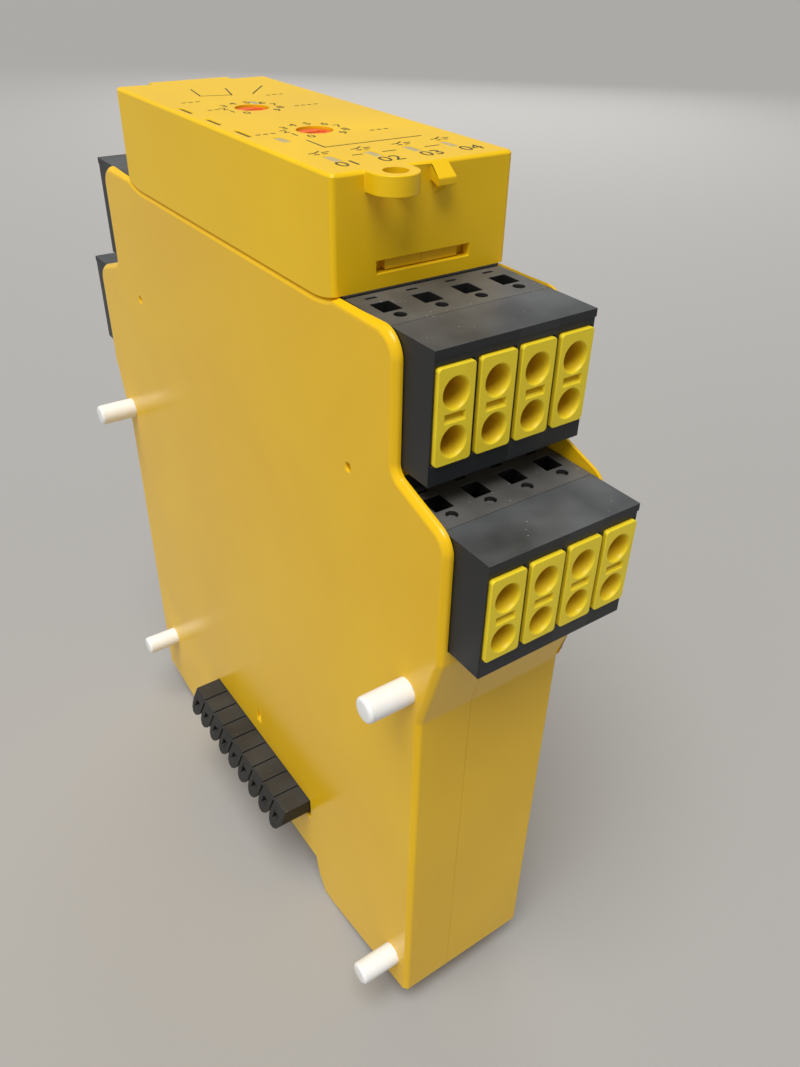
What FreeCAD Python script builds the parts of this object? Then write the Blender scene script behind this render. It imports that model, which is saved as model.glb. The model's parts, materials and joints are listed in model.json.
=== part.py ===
"""Safety relay module for a 35 mm top-hat rail, modelled piece by piece.

The module stands on its rail side with its front face up. +Z runs from the rail to the
front face, Y runs along the housing from the output end (-Y) to the input end (+Y), and
X runs across the width. The left panel, at -X, carries the locating pins and the bus plug.
Sizes are in millimetres. The origin is under the middle of the housing, on the plane that
the two feet stand on.
"""
import FreeCAD, Part
import math
import os

Vector = FreeCAD.Vector
os.makedirs("parts", exist_ok=True)

# ---------------------------------------------------------------- driving sizes
# housing outline
MODULE_WIDTH = 22.5
HOUSING_DEPTH = 120.8
UPPER_LENGTH = 77.7          # housing length beside the front plugs
LOWER_LENGTH = 96.5          # housing length beside the rear plugs
FOOT_LENGTH = 90.0           # housing length below the flare
CAP_LENGTH = 55.6
CAP_RISE = 11.8              # height of the front cap above the side panels
SHOULDER_RISE = 3.05         # shoulder height above the rear plugs
SHOULDER_DROP = 3.1
FLARE_DROP = 1.93            # top of the flare, below the shelf under the rear plugs
FLARE_HEIGHT = 11.6
FOOT_RISE = 4.0              # the underside climbs by this from the feet to each end
FOOT_FLAT = 3.4
CORNER_RADIUS = 3.0
FOOT_CORNER = 1.0
EDGE_BREAK = 0.6
SIDE_WALL = 1.0
END_WALL = 1.5
SEAM_X = -3.3                # where the half shells meet
SEAM_GAP = 0.04

# rail notch
RAIL_WIDTH = 35.0
RAIL_FLANGE = 1.0
RAIL_SEAT_Z = 6.5
RAIL_CLEARANCE = 0.3
NOTCH_LEAD = 0.8             # slope of the notch's side walls
FOOT_LEAD = 2.0
HOOK_REACH = 1.4             # how far the hook and the latch reach under the rail
HOOK_DROP = 2.6
HOOK_GAP = 0.15

# terminal plugs
POLES = 4
POLE_PITCH = 5.08
PLUG_HEIGHT = 14.5
PLUG_LENGTH = 15.2
COVER_LENGTH = 7.0
PLUG_SINK = 0.15             # top of the front plugs below the side panels' top
ROW_GAP = 3.4                # free height between the front and the rear plugs
FRONT_PLUG_REACH = 43.4      # front face of the plugs nearest the module's front
REAR_PLUG_REACH = 53.25      # front face of the plugs nearest the rail
PLUG_GAP = 0.12
POLE_WALL = 1.18
PLUG_ROOF = 1.6
PLUG_FLOOR = 1.2
PLUG_REAR_WALL = 1.8
LIP_REACH = 0.4
LIP_HEIGHT = 0.9
INSERT_WIDTH = 4.45
INSERT_HEIGHT = 10.4
INSERT_RISE = 0.3            # middle of an insert above the plug's middle
INSERT_STEP = 0.25           # height step from an insert's plate to its neck
INSERT_PROUD = 0.45
INSERT_FLANGE = 1.15
INSERT_NECK = 3.9
INSERT_CLEARANCE = 0.03
ENTRY_WIDTH = 3.15
ENTRY_HEIGHT = 3.6
ENTRY_THROAT = 0.78          # throat over mouth
ENTRY_SIDES = 10
UPPER_ENTRY_RISE = 2.65      # upper wire entries above the plug's middle
LOWER_ENTRY_DROP = 2.5       # lower wire entries below the plug's middle
TEST_SLOT_RISE = 0.25
TEST_SLOT_WIDTH = 2.6
TEST_SLOT_HEIGHT = 0.55
TEST_SLOT_DEPTH = 2.05
RELEASE_BACK = 11.4          # square release hole behind the plug's front face
RELEASE_WIDTH = 2.35
RELEASE_LENGTH = 2.6
DIMPLE_BACK = 8.95
DIMPLE_DIAMETER = 1.4
DIMPLE_DEPTH = 0.6
DIMPLE_SIDES = 8
CODING_BACK = 14.15
CODING_WIDTH = 1.4
CODING_LENGTH = 0.5
CODING_DEPTH = 0.8
PIN_SIZE = 1.0               # square header pins
PIN_CLEARANCE = 0.1
PIN_REACH = 5.4              # length of header pin inside a plug
PIN_POINT = 0.25
BAR_THICKNESS = 0.7
BAR_SETBACK = 0.5
SHELF_DROP = 2.05
SHELF_UPRIGHT = 3.5
SPRING_STRIP = 0.3
SPRING_WIDTH = 2.6
SPRING_RISE = 1.3
SPRING_LEAN = 1.2

# headers and boards
HEADER_BACK_Y = 19.8         # rear face of every header, from the middle
BOARD_THICKNESS = 1.6
BOARD_GAP = 0.1
BOARD_EDGE_GAP = 0.65
BOARD_TAB = 9.0              # height over which an upright board meets the terminal boards
BOARD_PIN_GAP = 1.3          # between the boards' ends and the bosses of the rear pins
BOARD_FLOOR_GAP = 1.5
BOARD_BUS_GAP = 5.7
BOARD_TOP_GAP = 3.0          # upper edge of the boards below the side panels' top
MAIN_BOARD_INSET = 3.75      # from the outside of the left panel to the main board
POWER_BOARD_INSET = 4.05     # from the outside of the right panel to the power board
TERMINAL_BOARD_RISE = 1.0
POST_SIZE = 4.0              # posts that hold the upright boards off the side panels
UPPER_POST_Y = 24.0
UPPER_POST_DROP = 8.3        # below the shelf under the rear plugs
LOWER_POST_Y = 27.0
LOWER_POST_Z = 34.0
PIN_TAIL = 1.3               # length of header pin that stands out of a terminal board

# parts on the boards: sizes are (height above the board, length, height along the module)
RELAY_SIZE = (11.6, 13.2, 29.0)
RELAY_STARTS = (-17.5, -2.5)
RELAY_BUS_GAP = 9.7          # above the bus connector
FILM_SIZE = (10.0, 12.0, 6.0)
FILM_START = 16.0
FILM_BOTTOM = 42.0
FILM_PITCH = 8.0
FILM_COUNT = 3
CHIP_SIZE = (1.5, 10.0, 10.0)
CHIP_STARTS = (-13.0, 3.0)
CHIP_DROP = 24.0             # below the boards' upper edge
CONVERTER_SIZE = (9.0, 11.0, 14.0)
CONVERTER_START = -33.0
CONVERTER_BOTTOM = 38.0
LINK_LENGTH = 15.0
LINK_HEIGHT = 2.5
LINK_START = -33.5
LINK_DROP = 10.3             # below the shelf under the rear plugs
DISPLAY_LINK_WIDTH = 2.5
DISPLAY_LINK_LENGTH = 16.0
DISPLAY_LINK_LAP = 6.0

# front cap
CAP_WALL = 1.2
CAP_TOP_WALL = 1.5
CAP_CORNER = 0.6
CAP_BREAK = 0.3
CAP_INSET = 0.05
COLLAR_GAP = 0.15
COLLAR_WALL = 1.2
COLLAR_RISE = 4.2            # collar height above the side panels
COLLAR_FOOT = 2.5
SNAP_WINDOW = 11.9
SNAP_WINDOW_HEIGHT = 1.25
SNAP_WINDOW_DROP = 9.0       # below the cap's top face
SNAP_LENGTH = 9.3
SNAP_PROUD = 0.85
SNAP_HEIGHT = 1.0
EYELET_X = -4.8
EYELET_OUT = 1.1             # eyelet centre, out from the cap's end face
EYELET_RADIUS = 2.6
EYELET_HOLE = 1.3
EYELET_HOLE_OUT = 0.3        # hole centre, further out than the eyelet's
EYELET_HEIGHT = 2.05
TAB_X = 1.1
TAB_WIDTH = 3.2
TAB_REACH = 2.9
TAB_TIP = 0.8
TAB_SLOPE = 1.0
TAB_ROOT = 1.8               # tab thickness where it leaves the cap
TAB_ROUND = 0.2
TAB_RIB_WIDTH = 1.6
TAB_RIB_DROP = 3.4
TAB_RIB_SETBACK = 0.8
LUG_WIDTH = 11.8
LUG_REACH = 1.8
LUG_HEIGHT = 1.6

# controls and lamps on the front face
DIAL_X = -2.0
DIAL_YS = (-9.2, 6.0)
DIAL_DIAMETER = 4.0
DIAL_CLEARANCE = 0.12
DIAL_SINK = 0.25
DIAL_FIT = 0.05
DIAL_SLOT = (-1.5, 0.9)      # ends of the screwdriver slot, from the dial's middle
DIAL_SLOT_WIDTH = 0.6
DIAL_SLOT_DEPTH = 0.7
DIAL_ARROW = (0.7, 1.6)      # base and point of the arrow head
DIAL_ARROW_HALF = 0.8
SWITCH_FLOOR = 0.8
SWITCH_SIZE = 7.0
SWITCH_HEIGHT = 3.6
LAMP_COUNT = 4
LAMP_PITCH = 4.83
LAMP_ROW_X = -0.25
LAMP_ROW_Y = -22.1
LAMP_WIDTH = 1.0
LAMP_LENGTH = 2.5
CORNER_LAMP = (-7.6, -12.0)
DIAL_LAMP = (0.0, 9.3)
LAMP_HEIGHT = 0.8
LAMP_CHIP = (0.8, 1.5)       # width and length of a lamp chip
LAMP_STEP_GAP = 0.1
LAMP_CLEARANCE = 0.05
LAMP_SINK = 0.08
GUIDE_WEB = 0.9
GROOVE_X = -9.85
GROOVE_YS = (-7.2, 0.1, 7.8)
GROOVE_LENGTH = 3.9
GROOVE_WIDTH = 0.55
GROOVE_DEPTH = 0.6

# locating pins on the left panel and their sockets in the right one
FRONT_PIN_Y = 42.6
FRONT_PIN_RISE = 4.0         # above the foot of the flare
OUTPUT_REAR_PIN = (-41.4, 10.2)
INPUT_REAR_PIN = (39.0, 15.4)
PIN_DIAMETER = 3.4
PIN_PROUD = 6.1
PIN_GRIP = 6.4               # length held in the left shell
PIN_BREAK = 0.5
PIN_ROOT = 2.2               # square root held in the left shell, below the pin's shoulder
PIN_FIT = 0.02
BOSS_WALL = 1.5
SOCKET_WALL = 1.0
SOCKET_FIT = 0.12
SOCKET_DEPTH = 6.6

# small openings in the left panel
PEEP_Y = 30.2
PEEP_DROP = 18.4             # below the panel's top
PEEP_DIAMETER = 1.1
PEEP_SIDES = 8
KEY_WIDTH = 1.3
KEY_HEIGHT = 2.4
KEY_DEPTH = 0.6
KEY_RISE = 3.6               # above the bus connector

# bus connector
BUS_WAYS = 9
BUS_PITCH = 3.81
BUS_Y = 0.3
BUS_TOP_Z = 20.3
BUS_HEIGHT = 4.1
BUS_PROUD = 6.3
BUS_LOBE_RADIUS = 1.78
BUS_LOBE_SIDES = 12
BUS_GROOVE = 0.4
BUS_HOLE = 1.3
BUS_CONTACT = 0.64           # square contact pins, right through the module
BUS_CONTACT_SETBACK = 1.2
BUS_GAP = 0.15
BUS_SOCKET_DEPTH = 6.5
BUS_SOCKET_WALL = 0.8

# rail latch
LATCH_HALF_WIDTH = 3.6
LATCH_THICKNESS = 2.6
LATCH_TRAVEL = 2.4
LATCH_CLEARANCE = 0.15
LATCH_PULL = 2.2
LATCH_ARM = 3.0
LATCH_POST_WIDTH = 2.6
LATCH_POST_LENGTH = 1.4
LATCH_POST_BACK = 1.0
LATCH_POST_RISE = 0.8
LATCH_EYE_WIDTH = 3.2
LATCH_EYE_INSET = (0.5, 0.7)
HOOK_ROUND = 0.3
LATCH_SPRING_LENGTH = 9.0
SPRING_FOLDS = 5
SPRING_LEAF = 0.35

# ---------------------------------------------------------------- derived values
HALF_WIDTH = MODULE_WIDTH / 2
INNER_X = HALF_WIDTH - SIDE_WALL
PANEL_TOP = HOUSING_DEPTH - CAP_RISE
FRONT_PLUG_TOP = PANEL_TOP - PLUG_SINK
REAR_PLUG_TOP = FRONT_PLUG_TOP - PLUG_HEIGHT - ROW_GAP
PLUG_HALF_WIDTH = POLES * POLE_PITCH / 2
POLE_XS = [(i - (POLES - 1) / 2) * POLE_PITCH for i in range(POLES)]
CAP_HALF_WIDTH = HALF_WIDTH - CAP_INSET
CAP_HALF_LENGTH = CAP_LENGTH / 2
COLLAR_HALF_WIDTH = CAP_HALF_WIDTH - CAP_WALL - COLLAR_GAP
COLLAR_HALF_LENGTH = CAP_HALF_LENGTH - CAP_WALL - COLLAR_GAP
SHELF_Z = REAR_PLUG_TOP - PLUG_HEIGHT - PLUG_GAP
SHELF_TOP_Z = FRONT_PLUG_TOP - PLUG_HEIGHT - PLUG_GAP
SHOULDER_Z = REAR_PLUG_TOP + SHOULDER_RISE
FLARE_TOP_Z = SHELF_Z - FLARE_DROP
FLARE_BOTTOM_Z = FLARE_TOP_Z - FLARE_HEIGHT
FRONT_HEADER_Y = FRONT_PLUG_REACH - PLUG_LENGTH - PLUG_GAP
REAR_HEADER_Y = REAR_PLUG_REACH - PLUG_LENGTH - PLUG_GAP
TERMINAL_BOARD_Y = HEADER_BACK_Y - BOARD_THICKNESS
DISPLAY_BOARD_Z = PANEL_TOP + COLLAR_RISE
MAIN_BOARD_X = -HALF_WIDTH + MAIN_BOARD_INSET
POWER_BOARD_X = HALF_WIDTH - POWER_BOARD_INSET
BOARD_HALF_LENGTH = INPUT_REAR_PIN[0] - PIN_DIAMETER / 2 - BOSS_WALL - BOARD_PIN_GAP
MAIN_BOARD_BOTTOM = RAIL_SEAT_Z + END_WALL + BOARD_FLOOR_GAP
POWER_BOARD_BOTTOM = BUS_TOP_Z + BOARD_BUS_GAP
BOARD_TOP = PANEL_TOP - BOARD_TOP_GAP
ENTRY_RISES = (UPPER_ENTRY_RISE, -LOWER_ENTRY_DROP)
RELAY_BOTTOM = BUS_TOP_Z + RELAY_BUS_GAP
POST_PLACES = [(side * y, z) for y, z in ((UPPER_POST_Y, SHELF_Z - UPPER_POST_DROP),
                                          (LOWER_POST_Y, LOWER_POST_Z)) for side in (-1, 1)]
LOCATING_PINS = {
    "output_front": (-FRONT_PIN_Y, FLARE_BOTTOM_Z + FRONT_PIN_RISE),
    "input_front": (FRONT_PIN_Y, FLARE_BOTTOM_Z + FRONT_PIN_RISE),
    "output_rear": OUTPUT_REAR_PIN,
    "input_rear": INPUT_REAR_PIN,
}
LATCH_LOW = FOOT_RISE + END_WALL + LATCH_CLEARANCE
LATCH_HIGH = LATCH_LOW + LATCH_THICKNESS
NOTCH_HALF = RAIL_WIDTH / 2 + RAIL_CLEARANCE
HOOK_TOP = RAIL_SEAT_Z - RAIL_FLANGE - HOOK_GAP
FOOT_HALF = FOOT_LENGTH / 2
FOOT_INNER = NOTCH_HALF + NOTCH_LEAD + FOOT_LEAD


# ---------------------------------------------------------------- helpers
def box(x0, x1, y0, y1, z0, z1):
    """Block between two opposite corners."""
    corner = Vector(min(x0, x1), min(y0, y1), min(z0, z1))
    return Part.makeBox(abs(x1 - x0), abs(y1 - y0), abs(z1 - z0), corner)


def rod(radius, start, end):
    """Round rod between two points."""
    start = Vector(*start)
    way = Vector(*end) - start
    return Part.makeCylinder(radius, way.Length, start, way)


def ring_points(centre, across, up, sides):
    """Closed list of points round an ellipse, given by its centre and two half axes."""
    points = []
    for i in range(sides + 1):
        angle = (i + 0.5) * 2 * math.pi / sides
        points.append(centre + across * math.cos(angle) + up * math.sin(angle))
    return points


def frustum(near, far):
    """Solid between two closed lists of points, with flat sides."""
    faces = [Part.Face(Part.makePolygon(near)), Part.Face(Part.makePolygon(far))]
    for i in range(len(near) - 1):
        faces.append(Part.Face(Part.makePolygon([near[i], near[i + 1], far[i + 1], far[i], near[i]])))
    solid = Part.Solid(Part.Shell(faces))
    if solid.Volume < 0:
        solid.reverse()
    return solid


def rounded_outline(corners, x):
    """Closed wire in the plane X = x through (y, z, radius) corners, with arcs at the corners."""
    points = [Vector(x, y, z) for y, z, _ in corners]
    starts, ends, arcs = [], [], []
    count = len(corners)
    for i, (_, _, radius) in enumerate(corners):
        here = points[i]
        back = (points[i - 1] - here).normalize()
        ahead = (points[(i + 1) % count] - here).normalize()
        if radius == 0:
            starts.append(here)
            ends.append(here)
            arcs.append(None)
            continue
        half = back.getAngle(ahead) / 2
        reach = radius / math.tan(half)
        middle = (back + ahead).normalize()
        first = here + back * reach
        last = here + ahead * reach
        crown = here + middle * (radius / math.sin(half) - radius)
        starts.append(first)
        ends.append(last)
        arcs.append(Part.Arc(first, crown, last).toShape())
    edges = []
    for i in range(count):
        if arcs[i] is not None:
            edges.append(arcs[i])
        following = starts[(i + 1) % count]
        if ends[i].distanceToPoint(following) > 1e-6:
            edges.append(Part.LineSegment(ends[i], following).toShape())
    return Part.Wire(edges)


def slab(corners, x0, x1):
    """Solid of a (y, z, radius) outline between two X planes."""
    face = Part.Face(rounded_outline(corners, x0))
    return face.extrude(Vector(x1 - x0, 0, 0))


def mirrored(half_outline):
    """Whole outline from its -Y half, listed from the bottom middle upwards."""
    return half_outline + [(-y, z, r) for y, z, r in reversed(half_outline)]


def edges_in_plane(shape, x):
    """Edges of a shape that lie in the plane X = x."""
    found = []
    for edge in shape.Edges:
        bounds = edge.BoundBox
        if abs(bounds.XMin - x) < 1e-6 and abs(bounds.XMax - x) < 1e-6:
            found.append(edge)
    return found


def square_bar(x0, x1, y, z, size):
    """Square bar along X, centred on (y, z)."""
    half = size / 2
    return box(x0, x1, y - half, y + half, z - half, z + half)


def at_end(shape, end):
    """A shape drawn at the output end (-Y), turned half round to reach the input end."""
    if end == "input":
        shape = shape.copy()
        shape.rotate(Vector(0, 0, 0), Vector(0, 0, 1), 180)
    return shape


def save(name, *shapes):
    """Write one node, made of one or more separate solids."""
    shape = shapes[0] if len(shapes) == 1 else Part.makeCompound(list(shapes))
    shape.exportStep("parts/" + name + ".step")


# ---------------------------------------------------------------- housing
def panel_corners():
    """Side outline of the module: feet, flare, shoulder and the straight upper section."""
    return mirrored([
        (-NOTCH_HALF, RAIL_SEAT_Z, 0),
        (-NOTCH_HALF - NOTCH_LEAD, RAIL_SEAT_Z / 2, 0),
        (-FOOT_INNER, 0, 0),
        (-FOOT_INNER - FOOT_FLAT, 0, 0),
        (-FOOT_HALF, FOOT_RISE, FOOT_CORNER),
        (-FOOT_HALF, FLARE_BOTTOM_Z, CORNER_RADIUS),
        (-LOWER_LENGTH / 2, FLARE_TOP_Z, CORNER_RADIUS),
        (-LOWER_LENGTH / 2, SHOULDER_Z - SHOULDER_DROP, CORNER_RADIUS),
        (-UPPER_LENGTH / 2, SHOULDER_Z, CORNER_RADIUS / 2),
        (-UPPER_LENGTH / 2, PANEL_TOP, CORNER_RADIUS),
    ])


def core_corners(inset):
    """Outline of the closed part of the housing, behind the plugs, drawn inwards by inset."""
    slope = (LOWER_LENGTH - FOOT_LENGTH) / 2 / (FLARE_TOP_Z - FLARE_BOTTOM_Z)
    return mirrored([
        (-NOTCH_HALF + inset / 2, RAIL_SEAT_Z + inset, 0),
        (-NOTCH_HALF - NOTCH_LEAD - inset, RAIL_SEAT_Z / 2 + inset, 0),
        (-FOOT_INNER - inset / 2, inset, 0),
        (-FOOT_INNER - FOOT_FLAT, inset, 0),
        (-FOOT_HALF + inset, FOOT_RISE + inset, 0 if inset else FOOT_CORNER),
        (-FOOT_HALF + inset, FLARE_BOTTOM_Z + inset * slope, 0 if inset else CORNER_RADIUS),
        (-LOWER_LENGTH / 2 + inset, FLARE_TOP_Z, 0 if inset else CORNER_RADIUS),
        (-LOWER_LENGTH / 2 + inset, SHELF_Z - inset, 0),
        (-REAR_HEADER_Y + inset, SHELF_Z - inset, 0),
        (-REAR_HEADER_Y + inset, SHELF_TOP_Z - inset, 0),
        (-FRONT_HEADER_Y + inset, SHELF_TOP_Z - inset, 0),
        (-FRONT_HEADER_Y + inset, PANEL_TOP - COLLAR_FOOT, 0),
    ])


def header_openings():
    """Spaces in the end walls that the four board headers fill."""
    spaces = []
    for end in (-1, 1):
        front_y = end * (FRONT_HEADER_Y + END_WALL)
        rear_y = end * (REAR_HEADER_Y + END_WALL)
        back_y = end * (HEADER_BACK_Y - END_WALL)
        spaces.append(box(-INNER_X, INNER_X, front_y, back_y, SHELF_TOP_Z, PANEL_TOP))
        spaces.append(box(-INNER_X, INNER_X, rear_y, back_y, SHELF_Z, SHELF_TOP_Z - END_WALL))
    return spaces


def collar(x0, x1):
    """Rim that carries the front cap: a rectangular wall with a wider foot on the panels."""
    top = PANEL_TOP + COLLAR_RISE
    outer = box(-COLLAR_HALF_WIDTH, COLLAR_HALF_WIDTH, -COLLAR_HALF_LENGTH, COLLAR_HALF_LENGTH,
                PANEL_TOP - COLLAR_FOOT, top)
    side_x = COLLAR_HALF_WIDTH - COLLAR_WALL
    side_y = COLLAR_HALF_LENGTH - COLLAR_WALL
    hollow = box(-side_x, side_x, -side_y, side_y, 0, HOUSING_DEPTH)
    foot = box(-INNER_X, INNER_X, -HEADER_BACK_Y + END_WALL, HEADER_BACK_Y - END_WALL,
               PANEL_TOP - COLLAR_FOOT, PANEL_TOP)
    rim = outer.fuse(foot).cut(hollow)
    for end in (-1, 1):
        # below the panel tops the board headers stand where the end walls would be
        rim = rim.cut(box(-INNER_X, INNER_X, end * (HEADER_BACK_Y - END_WALL), end * CAP_HALF_LENGTH,
                          0, PANEL_TOP + PLUG_GAP))
        face_y = end * COLLAR_HALF_LENGTH
        snap_z = HOUSING_DEPTH - SNAP_WINDOW_DROP - SNAP_WINDOW_HEIGHT / 2
        snap = box(-SNAP_LENGTH / 2, SNAP_LENGTH / 2, face_y, face_y + end * SNAP_PROUD,
                   snap_z - SNAP_HEIGHT / 2, snap_z + SNAP_HEIGHT / 2)
        rim = rim.fuse(snap)
    return rim.common(box(x0, x1, -LOWER_LENGTH, LOWER_LENGTH, 0, HOUSING_DEPTH))


def shell(side):
    """One half shell: side panel, its share of the end walls, and its half of the collar."""
    outer_x = side * HALF_WIDTH
    inner_x = side * INNER_X
    seam_x = SEAM_X + side * SEAM_GAP / 2
    body = slab(panel_corners(), outer_x, inner_x)
    rim_edges = edges_in_plane(body, outer_x)
    body = body.makeChamfer(EDGE_BREAK, rim_edges)
    walls = slab(core_corners(0), inner_x, seam_x).cut(slab(core_corners(END_WALL), inner_x, seam_x))
    for space in header_openings():
        walls = walls.cut(space)
    split = side * SEAM_GAP / 2
    edge_x = side * INNER_X
    rim = collar(min(split, edge_x), max(split, edge_x))
    return body.fuse(walls).fuse(rim)


def pin_boss(side, y, z, length):
    """Square boss round a locating pin or its socket, on the inside of a side panel."""
    root_x = side * INNER_X
    boss = square_bar(root_x, root_x - side * length, y, z, PIN_DIAMETER + 2 * BOSS_WALL)
    return boss.common(slab(core_corners(0), -HALF_WIDTH, HALF_WIDTH))


def board_posts(x0, x1):
    """Square posts between a side panel and the face of the board beside it."""
    return [square_bar(x0, x1, y, z, POST_SIZE) for y, z in POST_PLACES]


def latch_channel():
    """Space for the latch: through the end wall, along the foot and out under the rail."""
    half = LATCH_HALF_WIDTH + LATCH_CLEARANCE
    ceiling = LATCH_HIGH + LATCH_CLEARANCE
    window = box(-half, half, FOOT_INNER, FOOT_HALF + 1, LATCH_LOW - LATCH_CLEARANCE, ceiling)
    arm_back = NOTCH_HALF + NOTCH_LEAD + LATCH_ARM + LATCH_TRAVEL + END_WALL
    mouth = box(-half, half, RAIL_WIDTH / 2 - HOOK_REACH * 2, arm_back, -1, ceiling)
    return window.fuse(mouth)


def panel_openings():
    """Two peep holes under the front cap and a keyway above the bus connector."""
    cuts = []
    radius = PEEP_DIAMETER / 2
    for y in (-PEEP_Y, PEEP_Y):
        rim = ring_points(Vector(-HALF_WIDTH - 1, y, PANEL_TOP - PEEP_DROP), Vector(0, radius, 0),
                          Vector(0, 0, radius), PEEP_SIDES)
        cuts.append(Part.Face(Part.makePolygon(rim)).extrude(Vector(SIDE_WALL + 2, 0, 0)))
    low = BUS_TOP_Z + KEY_RISE
    outer_x = -HALF_WIDTH
    corners = [Vector(outer_x, 0, low), Vector(outer_x + KEY_DEPTH, 0, low + KEY_DEPTH),
               Vector(outer_x + KEY_DEPTH, 0, low + KEY_HEIGHT), Vector(outer_x - 1, 0, low + KEY_HEIGHT),
               Vector(outer_x - 1, 0, low), Vector(outer_x, 0, low)]
    keyway = Part.Face(Part.makePolygon(corners)).extrude(Vector(0, KEY_WIDTH, 0))
    keyway.translate(Vector(0, BUS_Y - KEY_WIDTH / 2, 0))
    return cuts + [keyway]


def left_shell():
    body = shell(-1)
    for y, z in LOCATING_PINS.values():
        body = body.fuse(pin_boss(-1, y, z, PIN_GRIP - SIDE_WALL + BOSS_WALL))
    for y, z in LOCATING_PINS.values():
        body = body.cut(square_bar(-HALF_WIDTH - 1, -HALF_WIDTH + PIN_GRIP, y, z, PIN_ROOT + 2 * PIN_FIT))
    for post in board_posts(-INNER_X, MAIN_BOARD_X):
        body = body.fuse(post)
    for opening in panel_openings():
        body = body.cut(opening)
    half = BUS_WAYS * BUS_PITCH / 2 + BUS_GAP
    body = body.cut(box(-HALF_WIDTH - 1, -INNER_X + 1, BUS_Y - half, BUS_Y + half,
                        BUS_TOP_Z - BUS_HEIGHT - BUS_GAP, BUS_TOP_Z + BUS_GAP))
    save("left_shell", body.cut(latch_channel()))


def right_shell():
    body = shell(1)
    for y, z in LOCATING_PINS.values():
        body = body.fuse(pin_boss(1, y, z, SOCKET_DEPTH - SIDE_WALL + BOSS_WALL))
    for y, z in LOCATING_PINS.values():
        body = body.cut(square_bar(HALF_WIDTH + 1, HALF_WIDTH - SOCKET_DEPTH, y, z,
                                   PIN_DIAMETER + 2 * (SOCKET_WALL + PIN_FIT)))
    for post in board_posts(POWER_BOARD_X + BOARD_THICKNESS, INNER_X):
        body = body.fuse(post)
    half = BUS_WAYS * BUS_PITCH / 2 + BUS_GAP + BUS_SOCKET_WALL + BUS_GAP
    body = body.cut(box(INNER_X - 1, HALF_WIDTH + 1, BUS_Y - half, BUS_Y + half,
                        BUS_TOP_Z - BUS_HEIGHT - BUS_SOCKET_WALL - 2 * BUS_GAP,
                        BUS_TOP_Z + BUS_SOCKET_WALL + 2 * BUS_GAP))
    # fixed hook that holds the rail's flange at the output end
    hook = slab([(-NOTCH_HALF - NOTCH_LEAD - FOOT_LEAD / 2, HOOK_TOP - HOOK_DROP, 0),
                 (-RAIL_WIDTH / 2 + HOOK_REACH, HOOK_TOP - HOOK_DROP / 2, HOOK_ROUND),
                 (-RAIL_WIDTH / 2 + HOOK_REACH, HOOK_TOP, HOOK_ROUND),
                 (-NOTCH_HALF - NOTCH_LEAD - FOOT_LEAD / 2, HOOK_TOP, 0)],
                SEAM_X + SEAM_GAP, INNER_X)
    body = body.cut(latch_channel()).fuse(hook)
    # post that the latch spring pushes against
    post_y = latch_post_y()
    post = box(-LATCH_POST_WIDTH / 2, LATCH_POST_WIDTH / 2, post_y, post_y + LATCH_POST_LENGTH,
               foot_floor_z(post_y) + END_WALL / 2, LATCH_HIGH + LATCH_POST_RISE)
    save("right_shell", body.fuse(post))


def foot_floor_z(y):
    """Height of the sloping underside at a distance y from the middle."""
    start = FOOT_INNER + FOOT_FLAT
    return FOOT_RISE * max(y - start, 0) / (FOOT_HALF - start)


def latch_post_y():
    return FOOT_HALF - END_WALL - LATCH_TRAVEL - LATCH_POST_LENGTH - LATCH_POST_BACK


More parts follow.
